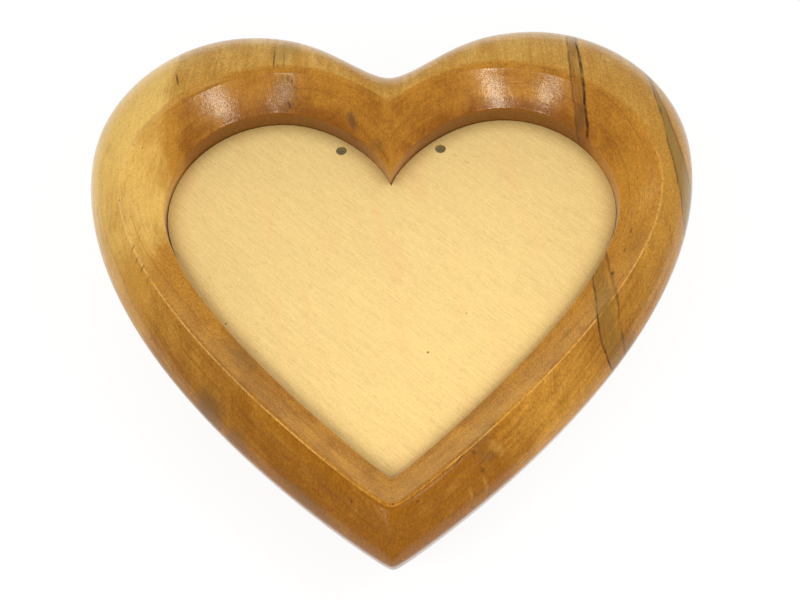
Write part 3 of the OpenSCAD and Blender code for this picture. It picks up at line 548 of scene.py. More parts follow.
def around(f, value, centre, half_width, soft):
    """1 within half_width of centre, falling to 0 over soft."""
    away = f.math("ABSOLUTE", f.less(value, centre))
    return f.fall(away, half_width, half_width + soft)


def spot(f, centre, half, turn=0.0, soft=0.6, ragged=0.0):
    """1 inside the ellipsoid of half sizes half round centre, in mm, falling to 0 over soft."""
    inside = f.mapped(f.mm, centre, (0, 0, turn), half, "TEXTURE")
    reach = f.add("ShaderNodeVectorMath", (0, inside), operation="LENGTH").outputs["Value"]
    if ragged:
        rough = f.grain([max(0.6, v * 0.6) for v in half], detail=3, rough=0.7)
        reach = f.sum(reach, f.line(rough, ragged, -ragged / 2))
    return f.fall(reach, 1.0 - soft, 1.0)


def daub(f, base, marks, tone, soft, ragged=0.0):
    """base with each spot of a table of marks laid over it in tone."""
    for centre, half, turn, amount, *own in marks:
        shape = spot(f, centre, half, turn, soft, *(own or [ragged]))
        base = f.mix(f.times(shape, amount), base, tone)
    return base


def streak(f, base, left, right, reach, fill, tone, edges, edge_tone):
    """Mineral streak: a sheet between two slanted planes x = a + b y + c z, along the grain.

    Below y = -30 the sheet bends outwards by 0.012 (y + 30)^2. reach gives its middle, half
    length and fade along y. fill gives the least and most strength of the colour inside and
    the share of it left by the right border, and edges the strengths of the border lines.
    """
    below = f.math("MINIMUM", f.sum(f.y, 30.0), 0.0)
    wobble = f.sum(f.times(f.math("POWER", below, 2.0), 0.012),
                   f.line(f.grain((4, 11, 4), detail=3, rough=0.6), 1.8, -0.9))
    past_left, past_right = (f.less(f.x, f.sum(a, f.times(f.y, b), f.times(f.z, c), wobble))
                             for a, b, c in (left, right))
    inside = f.times(f.step(past_left, -0.3, 0.4), f.fall(past_right, -0.4, 0.2))
    along = around(f, f.y, *reach)
    body = f.grain((0.9, 46, 0.9), detail=3, rough=0.6)
    amount = f.times(inside, along, f.step(body, 0.3, 0.7, fill[0], fill[1]),
                     f.step(past_right, -2.6, -1.4, 1.0, fill[2]))
    lines = f.most(f.times(around(f, past_left, 0.0, 0.05, 0.6), edges[0]),
                   f.times(around(f, past_right, 0.0, 0.2, 0.6), edges[1]))
    lines = f.times(lines, along, f.step(f.grain((3, 9, 3), detail=2), 0.3, 0.6, 0.4, 1.0))
    return f.mix(lines, f.mix(amount, base, tone), edge_tone)


def varnished_wood(wood):
    """Figured hardwood, grain along Y, under varnish.

    Tone runs from straw at the upper left through honey to amber at the tip: partly the wood's
    own tone and partly painted shade, darker where faces turn away from light behind the case.
    The inner slope is painted darker at the lobes, where it faces away from that light, paler
    near the tip, where it faces it, and darker again just above the wall. Growth rings are
    nearly level sheets s = z - 0.06 y + slow noise, so they show as thin contour lines on the
    slopes. Fibres and pores are noise drawn out along Y.
    """
    f = Finish("varnished_hardwood")
    facing = f.add("ShaderNodeTexCoord").outputs["Normal"]
    outward = f.add("ShaderNodeVectorMath", (0, f.mapped(f.mm, (0, -10, 0), scale=(1, 1, 0))),
                    operation="NORMALIZE")
    # below 0 the surface leans in, towards the opening
    lean = f.add("ShaderNodeVectorMath", (0, outward), (1, facing),
                 operation="DOT_PRODUCT").outputs["Value"]
    inner = f.times(f.fall(lean, -0.16, 0.04), f.step(f.z, 40, 41))
    tilt = f.fall(f.math("ABSOLUTE", f.split(facing)[2]), 0.86, 0.985)

    slow = f.grain((46, 120, 46), detail=2)
    cloud = f.grain((9, 24, 9), detail=4, rough=0.62, warp=0.5)
    blotch = f.grain((13, 16, 13), detail=3, rough=0.6, warp=0.8, shift=(30, 7, 2))
    silk = f.grain((1.7, 70, 5), detail=3, rough=0.65)
    fibre = f.grain((0.75, 14, 0.75), detail=3, rough=0.7)
    speck = f.grain((0.75, 1.2, 0.75), detail=2, rough=0.9)
    level = f.sum(f.z, f.times(f.y, -0.06), f.times(slow, 7), f.times(cloud, 0.8))
    sheets = f.add("ShaderNodeCombineXYZ", *enumerate(
        (f.times(f.x, 0.02), f.times(f.y, 0.02), f.times(level, 1.1))))
    sheet = f.noise(sheets, detail=3, rough=0.62)

    # tone: 0 is straw, 0.5 honey, 1 amber
    sap = f.times(f.fall(f.sum(f.x, f.times(slow, 14), f.times(silk, 6)), -84, -72),
                  f.step(f.sum(f.y, f.times(slow, 30)), -38, 32))
    # painted shade and painted light on the inner slope: darker at the lobes, paler near the tip,
    # darker just above the wall
    carved = f.sum(f.step(f.y, 25, 75, -0.09, 0.30), f.step(f.y, -80, -50, -0.10, 0.0),
                   f.times(spot(f, (-46, -45, 56), (26, 34, 30), 0, 0.8), 0.06),
                   f.times(f.step(f.z, 51, 57, 0.16, 0.0), f.step(f.y, 30, 70)))
    upper = f.step(f.y, 15, 75, 0.25, 1.0)
    # the rise of tone towards the tip is partly the wood's own tone and partly painted shade
    tone = f.sum(f.line(f.y, -0.0032, 0.66), f.times(sap, -0.40), f.times(inner, carved),
                 f.times(f.less(cloud, 0.5), 0.44),
                 f.times(f.less(blotch, 0.5), f.line(inner, 0.30, 0.16)),
                 f.times(f.less(silk, 0.5), f.times(upper, f.line(inner, -0.18, 0.34))),
                 f.times(f.less(sheet, 0.5), f.line(upper, -0.36, 0.56)),
                 f.times(spot(f, (64, -68, 56), (36, 36, 40), 0, 0.8), -0.20))
    # painted shade at the foot of the upper slopes, by the wall: darker and greyer where wall and
    # slope meet in shade
    foot = f.times(inner, f.fall(f.z, 50.0, 51.6), f.step(f.y, 50, 74))
    tone = f.math("ADD", tone, f.times(foot, 0.40), clamp=True)
    base = f.mix(f.step(tone, 0.0, 0.5), wood.sap, wood.honey)
    base = f.mix(f.step(tone, 0.5, 1.0), base, wood.amber)
    base = f.mix(f.times(foot, 0.50), base, wood.smoke_and_shade)

    # painted highlight: a pale line along the crest, standing in for the lamps' reflection on its
    # rounding
    fade = f.most(f.step(f.y, 10, 62, 1.0, 0.12), f.step(f.x, -75, -60, 0.7, 0.0))
    ridge = f.times(f.step(lean, -0.46, -0.30), f.fall(lean, -0.14, -0.02), fade,
                    f.step(f.z, 62.6, 63.3), f.step(f.y, -98, -70, 0.12, 1.0))
    base = f.mix(f.times(ridge, f.step(cloud, 0.3, 0.6, 0.10, 0.48)), base, wood.crest_highlight)

    # the carved slopes are warmer and more saturated towards the lobes
    rich = f.times(inner, f.step(f.y, -20, 50, 0.75, 1.0), f.line(sap, -0.85, 1.0))
    base = f.mix(rich, base, (1.0, 0.92, 0.62), blend="MULTIPLY")

    # growth lines, then fibres
    phase = f.math("FRACT", f.math("DIVIDE", level, 6.3))
    line = f.times(f.step(phase, 0.93, 0.985), f.fall(phase, 0.985, 1.0),
                   f.step(f.grain((26, 40, 40), detail=2, shift=(5, 60, 9)), 0.40, 0.60))
    base = f.mix(f.times(line, f.times(tilt, 0.42)), base, wood.ring)
    hair = f.times(f.step(f.grain((0.42, 34, 3.5), detail=2, shift=(7, 2, 5)), 0.60, 0.70),
                   f.step(cloud, 0.40, 0.62))
    base = f.mix(f.times(hair, 0.24), base, wood.ring)
    base = f.tint(base, f.line(f.less(fibre, 0.5), upper, 0.5), 0.36)
    calm = f.times(f.line(sap, -0.6, 1.1), f.line(inner, f.step(f.y, 5, 45, 0.35, 0.0), 1.0))
    base = f.tint(base, f.line(f.less(speck, 0.5), calm, 0.5), 1.15)

    # pores: short dark ticks along the grain; small pits; smudges, dashes and pale spots
    ticks = f.step(f.grain((0.34, 3.0, 0.34), detail=1), 0.68, 0.76)
    base = f.mix(f.times(ticks, 0.34), base, wood.ring)
    pits = f.step(f.grain((1.3, 3.2, 1.3), detail=2, rough=0.6, shift=(3, 1, 8)), 0.735, 0.77)
    base = f.mix(f.times(pits, 0.7), base, wood.streak_edge)
    base = daub(f, base, SMUDGES, wood.smoke_and_shade, 0.75)
    base = daub(f, base, DASHES, wood.streak_edge, 0.5, 0.35)
    base = daub(f, base, PALE, wood.sap, 0.7, 1.2)
    for left, right, reach, fill, tone_name, edges in STREAKS:
        base = streak(f, base, left, right, reach, fill, getattr(wood, tone_name), edges,
                      wood.streak_edge)

    f.bump(f.grain((5, 14, 5), detail=3), 0.12)
    f.bump(f.grain((1.5, 4.5, 1.5), detail=3, rough=0.6), 0.045)
    f.bump(f.grain((0.45, 0.75, 0.45), detail=2), 0.028)
    f.bump(ticks, -0.05)
    f.link(f.shader.inputs["Normal"].links[0].from_socket, f.shader.inputs["Coat Normal"])
    # the varnish is rubbed thin on the lower ridge and dull over the smoky patch
    thin = f.most(f.times(f.step(f.z, 61.2, 62.8), f.step(f.y, -45, -70), 0.85),
                  f.times(spot(f, (-43, 82, 57), (9, 14, 12), 0, 0.6), 0.55))
    return f.set(base=base, rough=0.42, specular=0.1, coat=f.line(thin, -0.9, 0.9),
                 coat_rough=wood.gloss, coat_ior=1.5, sheen=0.3, sheen_rough=0.35)


def raw_ply(name, wood, face, fleck, turn, painted_shade=0.0, marks=()):
    """Raw birch plywood: fine short flecks along the turned grain, and plies seen on edge.

    The argument after turn is the strength of a painted grey shade near the walls, darkest at a
    wall's foot and gone at the shade reach set near the top, standing in for the shade the walls
    cast.
    """
    f = Finish(name)

    def along(size, detail, rough=0.5, shift=(0, 0, 0)):
        """Noise stretched along the turned grain."""
        return f.grain(size, detail, rough, turn=(0, 0, turn), shift=shift)
    fine = along((0.42, 11.0, 0.6), 3, 0.8)
    flecks = f.step(along((0.42, 5.5, 0.8), 2, 0.7, (9, 4, 0)), 0.58, 0.70)
    rays = f.step(along((0.36, 3.6, 0.8), 1, shift=(2, 14, 5)), 0.68, 0.80)
    speck = f.grain((0.6, 0.8, 0.6), detail=2, rough=0.9)
    soft = along((26, 60, 20), 3)
    warm = f.grain((9, 46, 20), detail=2, turn=(0, 0, -8), shift=(40, 11, 0))
    base = f.mix(f.times(flecks, 0.34), face, fleck)
    base = f.mix(f.times(rays, 0.30), base, [c * 0.6 for c in fleck])
    base = f.mix(f.step(warm, 0.50, 0.70, 0.0, 0.45), base, wood.ply_warm)
    base = f.tint(f.tint(f.tint(base, fine, 0.50), speck, 0.38), soft, 0.08)
    # painted shade: the board is darkened where ambient occlusion finds a wall near, standing in
    # for the shade the walls cast on it
    if painted_shade:
        corner = f.add("ShaderNodeAmbientOcclusion", ("Distance", SHADE_REACH * MM), samples=6)
        base = f.mix(f.step(corner.outputs["AO"], 0.5, 0.97, painted_shade, 0.0), base,
                     (0.55, 0.50, 0.42), blend="MULTIPLY")
    base = daub(f, base, marks, wood.ply_mark, 0.6)
    layer = f.math("FRACT", f.math("DIVIDE", f.z, 2 * PLY))
    normal = f.add("ShaderNodeNewGeometry").outputs["Normal"]
    edge = f.fall(f.math("ABSOLUTE", f.split(normal)[2]), 0.4, 0.6)
    base = f.mix(f.times(f.step(layer, 0.47, 0.53), edge, 0.5), base, wood.ply_edge)
    f.bump(fine, 0.03)
    f.bump(flecks, -0.03)
    return f.set(base=base, rough=0.62, specular=0.25)


def metal(name, tone, rough, brush=None, centre=None, speckle=0.0, dull=0.0):
    """Metal with brushed or turned marks, slight cloudiness of its shine, and fine handling grime.

    brush gives the size in mm of the marks along x, y, z; centre (axis, a, b) makes them rings
    round an axis through a, b instead.
    """
    f = Finish(name)
    if centre is not None:
        axis, a, b = centre
        first, second = {"z": (f.x, f.y), "x": (f.y, f.z)}[axis]
        radius = f.math("SQRT", f.sum(f.math("POWER", f.less(first, a), 2.0),
                                      f.math("POWER", f.less(second, b), 2.0)))
        rings = f.add("ShaderNodeCombineXYZ", (0, f.times(radius, 9.0)))
        marks = f.noise(rings, detail=3, rough=0.7)
    else:
        marks = f.grain(brush, detail=3, rough=0.65)
    cloud = f.grain((3.5, 3.5, 3.5), detail=3, rough=0.6)
    spots = f.step(f.grain((0.8, 0.8, 0.8), detail=3, rough=0.7, shift=(2, 5, 1)), 0.60, 0.74)
    base = f.tint(f.tint(tone, marks, 0.22), cloud, 0.22)
    base = f.mix(f.times(spots, speckle), base, [c * 0.45 for c in tone])
    shine = f.sum(f.times(cloud, 0.20), f.times(marks, 0.12), rough - 0.16)
    f.bump(marks, 0.02)
    f.bump(cloud, 0.03)
    return f.set(base=base, rough=shine, metal=1.0 - dull)


def cast_metal(name, tone):
    """Die-cast plate: fine orange-peel skin with faint flow marks."""
    f = Finish(name)
    skin = f.grain((0.45, 0.45, 0.45), detail=3, rough=0.7)
    flow = f.grain((9, 4, 5), detail=3, warp=1.2)
    base = f.tint(f.tint(tone, skin, 0.18), flow, 0.22)
    f.bump(skin, 0.06)
    return f.set(base=base, rough=f.line(flow, 0.25, 0.36), metal=0.9)


def moulded(name, tone, rough, glow=0.0):
    """Moulded plastic or polished stone with a faint skin texture and slow colour change."""
    f = Finish(name)
    skin = f.grain((0.25, 0.25, 0.25), detail=2)
    slow = f.grain((2.5, 2.5, 2.5), detail=2)
    base = f.tint(f.tint(linear(tone), slow, 0.14), skin, 0.06)
    f.bump(skin, 0.015)
    return f.set(base=base, rough=f.line(slow, 0.15, rough - 0.07), subsurface=glow, coat=0.2)


def pressed_felt(name, tone):
    """Pressed wool felt: tangled short fibres and a soft sheen."""
    f = Finish(name)
    fibre = f.grain((0.14, 0.6, 0.14), detail=3, rough=0.7, warp=1.5, turn=(0, 0, 35))
    cross = f.grain((0.6, 0.14, 0.14), detail=3, rough=0.7, warp=1.5, turn=(0, 0, 20))
    tangle = f.most(fibre, cross)
    f.bump(tangle, 0.12)
    return f.set(base=f.tint(linear(tone), tangle, 0.9), rough=0.95, specular=0.1, sheen=0.5,
                 sheen_rough=0.5)


# ---------- operators ----------

def put_on(material, *nodes):
    """The material in every slot of these CAD nodes."""
    for name in nodes:
        slots = frame["nodes"][name].material_slots
        if not slots:
            frame["nodes"][name].data.materials.append(material)
        for slot in slots:
            slot.material = material


class MUSICBOX_OT_case(bpy.types.Operator):
    """Carves the heart-shaped case as one closed surface and varnishes it"""
    bl_idname = "music_box.case"
    bl_label = "Carved case"

    def execute(self, context):
        c, wood = context.scene.music_box_case, context.scene.music_box_wood
        mm = {key: getattr(c, key) / MM for key in c.__annotations__}
        mm["facet"] = c.facet      # a share, not a length
        half_w, half_l = mm["width"] / 2, mm["length"] / 2
        # each heart as heart() takes it; the last three numbers are its angle and two pulls
        outer = [half_w, half_l - mm["cleft"], mm["lobe_x"], half_l, mm["side_y"], -half_l,
                 24, 0.38, 0.55]
        crest = [half_w - mm["band_side"], outer[1] - mm["band_cleft"], mm["crest_lobe_x"],
                 half_l - mm["band_top"], mm["crest_side_y"], -half_l + mm["band_tip"],
                 46, 0.1, 0.41]
        opening = [crest[0] - mm["slope_side"], crest[1] - mm["slope_cleft"],
                   mm["opening_lobe_x"], crest[3] - mm["slope_top"], mm["opening_side_y"],
                   crest[5] + mm["slope_tip"], 75, 0.25, 0.37]
        hearts = np.stack([heart(opening, 0.25, 0.8), heart(crest, 1.2, 3.2),
                           heart(outer, 5.0, 1.6), heart(inset(opening, -3), 1.0, 1.0),
                           heart(inset(opening, 6), 0.3, 0.5), heart(inset(opening, 12), 0.3, 0.5)])
        rows = self.section(mm)
        plan = np.einsum("rh,huc->ruc", rows[:, :6], hearts)
        # the opening leans a little, so that the board sits tight on the right
        lean = np.where(rows[:, 0] == 1, np.clip((mm["top"] - 15 - rows[:, 6]) / 5, 0, 1), 0)
        plan[:, :, 0] -= OPENING_LEAN * lean[:, None]
        # the shoulder starts at a tilt below the middle, so the crest is a ridge there
        share_out = np.where(rows[:, 3:6].sum(1) > 0, 0.0, rows[:, 2])
        facet = mm["shoulder"] * mm["facet"] * (share_out - 1 + np.sqrt(1 - share_out ** 2))
        low = np.clip((45 - plan[:, :, 1]) / 75, 0, 1)
        height = rows[:, 6][:, None] - facet[:, None] * low
        points = np.concatenate([plan, height[:, :, None]], 2).reshape(-1, 3)
        quads = grid_faces(len(rows), plan.shape[1], closed_rows=True)
        make_piece("case_body", [(points, quads, [])], varnished_wood(wood), "root",
                   ["heart_case"])
        return {"FINISHED"}

    @staticmethod
    def section(mm):
        """Rows of the case's skin, each the weights of six hearts and a height.

        The hearts are opening, crest, outer, rim, recess and chamber. From the foot of the
        slope the rows go up the hollowed slope, over the rounded crest, along the shoulder's
        quarter ellipse, down the bowl's cubic curve, under the rim, up the recess, the chamber
        and the opening's wall, and back to the slope.
        """
        top, rim = mm["top"], mm["rim"]
        slope_z, widest = top - mm["slope_h"], top - mm["shoulder"]
        ledge_z, base_top = top - LEDGE_DEPTH, rim + BASE_RECESS

        def at(heart_number, z):
            """A row that is one of the six hearts alone, at height z."""
            return np.array([float(i == heart_number) for i in range(6)] + [z])

        lip, ridge = at(0, slope_z), at(1, top)
        slope = math.hypot(mm["slope_side"], mm["slope_h"])
        wall_low = at(0, ledge_z)
        round_in, round_lip = mm["crest_round"] / slope, mm["lip_round"] / slope
        start = math.asin(min(0.9, mm["crest_round"] / mm["band_side"]))
        angle = np.linspace(start, math.pi / 2, 30)[:, None]
        band = at(1, 0) * (1 - np.sin(angle)) + at(2, 0) * np.sin(angle)
        band[:, 6] = top - mm["shoulder"] * (1 - np.cos(angle[:, 0]))
        t = np.linspace(0, 1, 36)[1:-1]
        u, drop = 1 - t, widest - rim
        part = (1.5 * u * t * t + t ** 3)[:, None]
        bowl = at(2, 0) * (1 - part) + at(3, 0) * part
        bowl[:, 6] = (rim + u ** 3 * drop + 3 * u * u * t * (drop - BOWL_PULL)
                      + 3 * u * t * t * BOWL_PULL)
        bowl = bowl[:-1]
        rim_out, rim_in = at(3, rim), at(4, rim)
        edge = mm["rim_round"] / RIM_WIDTH
        crest_fillet = fillet(lip, ridge, band[0], round_in, 1.0, 12)
        slope_run = stretch(lip + (ridge - lip) * round_lip, crest_fillet[0], 18)
        rows = np.concatenate([
            fillet(wall_low, lip, ridge, mm["lip_round"] / WALL, round_lip, 7), slope_run,
            crest_fillet, band[1:], bowl,
            fillet(bowl[-1], rim_out, rim_in, 0.75, edge, 8),
            fillet(rim_out, rim_in, at(4, base_top), edge * 0.6, 0.05, 6),
            stretch(at(4, rim + 0.8), at(4, base_top), 3),
            np.array([at(4, base_top), at(5, base_top), at(5, ledge_z), wall_low]),
            stretch(wall_low, lip, 6)[:-1]])
        along = np.clip((rows[:, 6] - slope_z) / mm["slope_h"], 0, 1)
        on_slope = rows[:, 0] * rows[:, 1] > 0
        rows[:, 6] -= np.where(on_slope, mm["hollow"] * 4 * along * (1 - along), 0)
        return rows


class MUSICBOX_OT_boards(bpy.types.Operator):
    """Finishes the soundboard, its two screws and the base board with its screws"""
    bl_idname = "music_box.boards"
    bl_label = "Boards and case screws"

    def execute(self, context):
        wood, tones = context.scene.music_box_wood, context.scene.music_box_metal
        # 0.8 is the strength of the painted shade along the walls of the recess
        put_on(raw_ply("raw_birch_ply", wood, wood.ply, wood.fleck, -47, 0.8, BOARD_MARKS),
               "soundboard")
        put_on(raw_ply("raw_base_ply", wood, wood.base_ply, wood.base_fleck, 4), "base_board")
        put_on(metal("dull_screw", tones.screw, 0.55, brush=(0.3, 3, 0.3), speckle=0.4, dull=0.92),
               "soundboard_screws")
        zinc = metal("zinc_screw", tones.zinc, 0.34, brush=(0.25, 2, 0.25), speckle=0.35)
        put_on(zinc, "base_screws", "movement_screws", "bridge_screws", "comb_screws",
               "bracket_screw", "governor_screws")
        return {"FINISHED"}


class MUSICBOX_OT_pads(bpy.types.Operator):
    """Turns the four felt pads with soft edges"""
    bl_idname = "music_box.pads"
    bl_label = "Felt pads"

    def execute(self, context):
        mesh = frame["nodes"]["felt_pads"].data
        co = np.zeros(len(mesh.vertices) * 3, np.float32)
        mesh.vertices.foreach_get("co", co)
        co = co.reshape(-1, 3) / MM
        radius, soft, high = 3.5, 0.45, float(co[:, 2].max())
        low_y = co[:, 1] < co[:, 1].mean()
        a = np.linspace(0, math.pi / 2, 9)
        flat, sine, cosine = radius - soft, soft * np.sin(a), soft * np.cos(a)
        profile = np.concatenate([
            [[0.6, 0.0], [1.8, 0.02]], np.stack([flat + sine, soft - cosine], 1),
            np.stack([flat + cosine, high - soft + sine], 1), [[0.6, high]]])
        parts = []
        for row in (low_y, ~low_y):
            for right in (False, True):
                chosen = co[row & ((co[:, 0] > 0) == right)]
                middle = (chosen.min(0) + chosen.max(0)) / 2
                parts.append(turned(profile, (middle[0], middle[1], 0.0), 48))
        make_piece("felt_pad_set", parts, pressed_felt("brown_felt", (92, 74, 58)), "root",
                   ["felt_pads"])
        return {"FINISHED"}


class MUSICBOX_OT_key(bpy.types.Operator):
    """Shapes the butterfly key: a turned hub and two looped wings with rounded edges"""
    bl_idname = "music_box.key"
    bl_label = "Winding key"

    def execute(self, context):
        low, high = (np.array(v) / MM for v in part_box("winding_key"))
        axis_x, axis_y = (low[0] + high[0]) / 2, (low[1] + high[1]) / 2
        wing_h, wing_t, hub_r, hub_h, span = 7.6, 1.8, 3.2, 7.0, high[0] - low[0]
        hub_z, wing_z = high[2] - hub_h, low[2] + wing_h / 2
        profile = [(0.4, 0.25), (hub_r - 1.1, 0.25), (hub_r - 0.7, 0.32), (hub_r - 0.45, 0.6),
                   (hub_r - 0.45, 4.4), (hub_r - 0.3, 4.6), (hub_r - 0.08, 4.72), (hub_r, 4.95),
                   (hub_r, 6.5), (hub_r - 0.1, 6.8), (hub_r - 0.4, hub_h), (1.9, hub_h),
                   (1.62, 6.95), (1.52, 6.8), (1.52, 2.2), (0.4, 2.1)]
        parts = [turned(profile, (axis_x, axis_y, hub_z), 64)]
        for side in (-1, 1):
            parts.append(self.loop(side, axis_x, axis_y, wing_z, span, wing_h, wing_t))
        parts.append(self.web(axis_x, axis_y, wing_z, span, wing_h, wing_t))
        tone = context.scene.music_box_metal.key
        make_piece("butterfly_key", parts,
                   metal("nickel_key", tone, 0.24, brush=(1.2, 1.2, 1.2), speckle=0.25),
                   "winding", ["winding_key"])
        return {"FINISHED"}

    @staticmethod
    def loop(side, x0, y0, z0, span, height, thick):
        """Wing loop: a rounded bar carried round an egg-shaped path in the wing's plane."""
        bar = height / 4 - 0.02
        reach = height / 2 - bar / 2
        centre = x0 + side * (span / 2 - height / 2)
        a = circle(72)
        stretch_in = 1 + 0.10 * (1 - np.cos(a)) / 2
        path = np.stack([centre + side * reach * np.cos(a) * stretch_in, np.full_like(a, y0),
                         z0 + reach * np.sin(a)], 1)
        tangent = unit(np.roll(path, -1, 0) - np.roll(path, 1, 0))
        up = np.tile([0.0, 1.0, 0.0], (len(a), 1))
        section = np.stack(soft_square(24, 0.62), 1) * [bar / 2, thick / 2]
        return swept(path, np.cross(tangent, up), up, section, True)

    @staticmethod
    def web(x0, y0, z0, span, height, thick):
        """Bar between the loops: a rounded box section that waists in towards the hub."""
        ends = span / 2 - height + 0.9
        x = np.linspace(-ends, ends, 41)
        half_z = 1.45 + 0.55 * (np.abs(x) / ends) ** 2
        round_y, round_z = soft_square(28, 0.5)
        points = np.stack([np.repeat((x0 + x)[:, None], len(round_y), 1),
                           y0 + np.repeat(thick / 2 * round_y[None, :], len(x), 0),
                           z0 + half_z[:, None] * round_z[None, :]], -1)
        rows, columns = points.shape[:2]
        return points.reshape(-1, 3), grid_faces(rows, columns), caps(rows, columns)


class MUSICBOX_OT_clutch(bpy.types.Operator):
    """Winds the close-wound clutch spring as a real helix of wire"""
    bl_idname = "music_box.clutch"
    bl_label = "Clutch spring"

    def execute(self, context):
        low, high = (np.array(v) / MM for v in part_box("clutch_spring"))
        wire, arbor_r, fit = 0.5, 2.0, 0.06
        radius, pitch = arbor_r + fit + wire / 2, wire * 1.01
        x0 = low[0] + (high[0] - low[0]) / 2
        y0 = low[1] + (x0 - low[0])
        turns = (high[2] - low[2] - wire) / pitch
        a = np.linspace(0, 2 * math.pi * turns, int(40 * turns))
        z = high[2] - wire / 2 - 0.03 - a / (2 * math.pi) * pitch
        coil = np.stack([x0 + radius * np.cos(a), y0 + radius * np.sin(a), z], 1)[::-1]
        arm_y = np.linspace(y0, high[1] - 0.02, 14)[1:]
        arm = np.stack([np.full_like(arm_y, x0 + radius), arm_y,
                        np.full_like(arm_y, coil[-1, 2])], 1)
        path = np.concatenate([coil, arm[1:]])
        tangent = unit(np.gradient(path, axis=0))
        side = unit(np.cross(tangent, [0.0, 0.0, 1.0]))
        b = circle(14)
        section = wire / 2 * np.stack([np.cos(b), np.sin(b)], 1)
        tone = context.scene.music_box_metal.spring
        make_piece("clutch_coil", [swept(path, side, np.cross(side, tangent), section, False)],
                   metal("clutch_wire", tone, 0.30, brush=(0.2, 0.2, 0.2)), "root",
                   ["clutch_spring"])
        return {"FINISHED"}


class MUSICBOX_OT_movement(bpy.types.Operator):
    """Gives the comb movement's metal, nylon and jewel pieces their finishes"""
    bl_idname = "music_box.movement"
    bl_label = "Movement finishes"

    def execute(self, context):
        tones = context.scene.music_box_metal
        joints = {j["name"]: [v / MM for v in j["pos_m"]] for j in frame["joints"]}
        barrel, cylinder = joints["barrel_turn"], joints["cylinder_turn"]
        for material, nodes in (
                (metal("turned_brass", tones.brass, 0.26, centre=("z", *barrel[:2]), speckle=0.2),
                 "spring_barrel barrel_cap"),
                (metal("cylinder_brass", tones.brass, 0.30, (0.12, 2.5, 2.5), speckle=0.15),
                 "pin_cylinder drive_pinion"),
                (metal("wheel_brass", tones.brass, 0.24, centre=("x", *cylinder[1:]),
                       speckle=0.15), "cylinder_wheel governor_pinion"),
                (metal("spring_strip", tones.spring, 0.30, (1.5, 1.5, 0.15), speckle=0.2),
                 "mainspring"),
                (metal("ground_shaft", tones.steel, 0.20, (0.12, 1.2, 1.2)),
                 "winding_arbor cylinder_shaft governor_arbor worm_shaft"),
                (metal("ground_comb", tones.steel, 0.30, (3.0, 0.12, 3.0), speckle=0.1), "comb"),
                (metal("zinc_strap", tones.zinc, 0.36, (0.3, 4, 0.3), speckle=0.3),
                 "barrel_bridge cylinder_bracket governor_frame"),
                (cast_metal("cast_bedplate", tones.cast), "bedplate"),
                (moulded("white_nylon", (238, 234, 220), 0.45, glow=0.1), "worm_wheel"),
                (moulded("amber_fan", (214, 178, 96), 0.35), "fan"),
                (moulded("ruby_stone", (150, 28, 52), 0.12, glow=0.2), "end_stone")):
            put_on(material, *nodes.split())
        return {"FINISHED"}


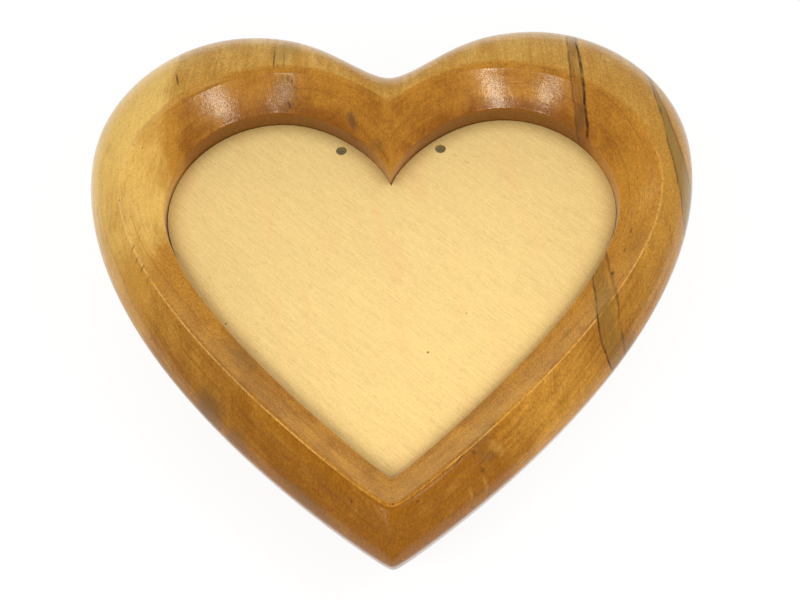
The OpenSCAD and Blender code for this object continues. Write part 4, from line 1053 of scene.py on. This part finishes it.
class MUSICBOX_OT_stage(bpy.types.Operator):
    """Sets the white table, the soft white surroundings, two small lamps and the camera"""
    bl_idname = "music_box.stage"
    bl_label = "Studio"

    def execute(self, context):
        studio, scene = context.scene.music_box_studio, context.scene
        scene.view_settings.view_transform = "Standard"
        self.surroundings(scene, studio)
        self.table(scene)
        for name, position, level in (("lamp_left", (-90, -183, 273), 1.0),
                                      ("lamp_right", (76, -109, 221), 0.93)):
            self.lamp(name, position, studio.lamp * level)
        self.camera(scene, studio)
        return {"FINISHED"}

    @staticmethod
    def surroundings(scene, studio):
        """White to the camera, plain on the object, darker overhead in mirrored light."""
        scene.world = bpy.data.worlds.new("white_surroundings")
        w = Nodes(scene.world)
        generated = w.add("ShaderNodeTexCoord").outputs["Generated"]
        ceiling = w.step(w.split(generated)[2], 0.0, 0.24, 1.0, studio.ceiling)
        light = w.add("ShaderNodeBackground", ("Color", (1.0, 0.995, 0.985)),
                      ("Strength", studio.dome))
        mirrored = w.add("ShaderNodeBackground", ("Color", WHITE), ("Strength", ceiling))
        shown = w.add("ShaderNodeBackground", ("Color", WHITE))
        unseen = w.blend(w.rays("Glossy", "Transmission"), light, mirrored)
        w.add("ShaderNodeOutputWorld", ("Surface", w.blend(w.rays("Camera"), unseen, shown)))

    @staticmethod
    def table(scene):
        """A disc of TABLE_RADIUS round the object, 0.1 mm below the foot of the pads."""
        a = circle(96)
        points = np.stack([TABLE_RADIUS * np.cos(a), TABLE_RADIUS * np.sin(a),
                           np.full_like(a, -0.1 * MM)], 1)
        mesh = bpy.data.meshes.new("table_top")
        mesh.from_pydata(points.tolist(), [], [list(range(len(a)))])
        table = bpy.data.objects.new("table_top", mesh)
        scene.collection.objects.link(table)
        material = bpy.data.materials.new("white_table")
        t = Nodes(material)
        matt = t.add("ShaderNodeBsdfDiffuse", ("Color", (0.9, 0.9, 0.9)))
        white = t.add("ShaderNodeEmission", ("Strength", 1.08))
        # a fifth of the matt surface stays in view, with the object's shadow on it
        seen = t.times(t.rays("Camera", "Glossy", "Transmission"), 0.8)
        t.add("ShaderNodeOutputMaterial", ("Surface", t.blend(seen, matt, white)))
        mesh.materials.append(material)

    @staticmethod
    def lamp(name, position, power):
        """Small upright soft lamp at position, in mm, aimed at the upper slopes."""
        data = bpy.data.lights.new(name, "AREA")
        data.shape, data.energy = "RECTANGLE", power
        data.size, data.size_y = LAMP_SIZE
        data.color = (1.0, 0.96, 0.80)
        lamp = bpy.data.objects.new(name, data)
        aim = unit(np.array((0.0, 0.045, 0.05)) - np.array(position) * MM)
        side = unit(np.cross(aim, (0, 0, 1.0)))
        place(lamp, side, np.cross(side, aim), -aim, position)
        lamp.visible_camera = False

    @staticmethod
    def camera(scene, studio):
        """Camera over the front edge, looking down and back at the case, in mm."""
        data = bpy.data.cameras.new("camera")
        data.sensor_fit, data.sensor_width, data.lens = "HORIZONTAL", 36.0, studio.lens
        data.clip_start, data.clip_end = 0.01, 50.0
        camera = bpy.data.objects.new("camera", data)
        right = unit(np.array((0.9997, -0.0089, -0.0225)))
        up = np.array((0.0188, 0.8702, 0.4924))
        up = unit(up - right * (up @ right))
        place(camera, right, up, np.cross(right, up), (9.45, -214.02, 405.14))
        scene.camera = camera


class MUSICBOX_PT_panel(bpy.types.Panel):
    """Lists the pieces of the music box and their settings"""
    bl_idname = "MUSICBOX_PT_panel"
    bl_label = "Heart Music Box"
    bl_space_type = "VIEW_3D"
    bl_region_type = "UI"
    bl_category = "Music Box"

    def draw(self, context):
        for kind in OPERATORS:
            self.layout.operator(kind.bl_idname)
        for name in GROUPS:
            box = self.layout.box()
            settings = getattr(context.scene, name)
            for key in settings.__annotations__:
                box.prop(settings, key)


OPERATORS = (MUSICBOX_OT_stage, MUSICBOX_OT_case, MUSICBOX_OT_boards, MUSICBOX_OT_pads,
             MUSICBOX_OT_key, MUSICBOX_OT_clutch, MUSICBOX_OT_movement)
GROUPS = {"music_box_case": MusicBoxCase, "music_box_wood": MusicBoxWood,
          "music_box_metal": MusicBoxMetal, "music_box_studio": MusicBoxStudio}


def register():
    for kind in (*GROUPS.values(), *OPERATORS, MUSICBOX_PT_panel):
        bpy.utils.register_class(kind)
    for name, kind in GROUPS.items():
        setattr(bpy.types.Scene, name, bpy.props.PointerProperty(type=kind))


def unregister():
    for name in GROUPS:
        delattr(bpy.types.Scene, name)
    for kind in reversed((*GROUPS.values(), *OPERATORS, MUSICBOX_PT_panel)):
        bpy.utils.unregister_class(kind)


def main():
    register()
    for kind in OPERATORS:
        group, name = kind.bl_idname.split(".")
        getattr(getattr(bpy.ops, group), name)()


if __name__ == "__main__":
    main()
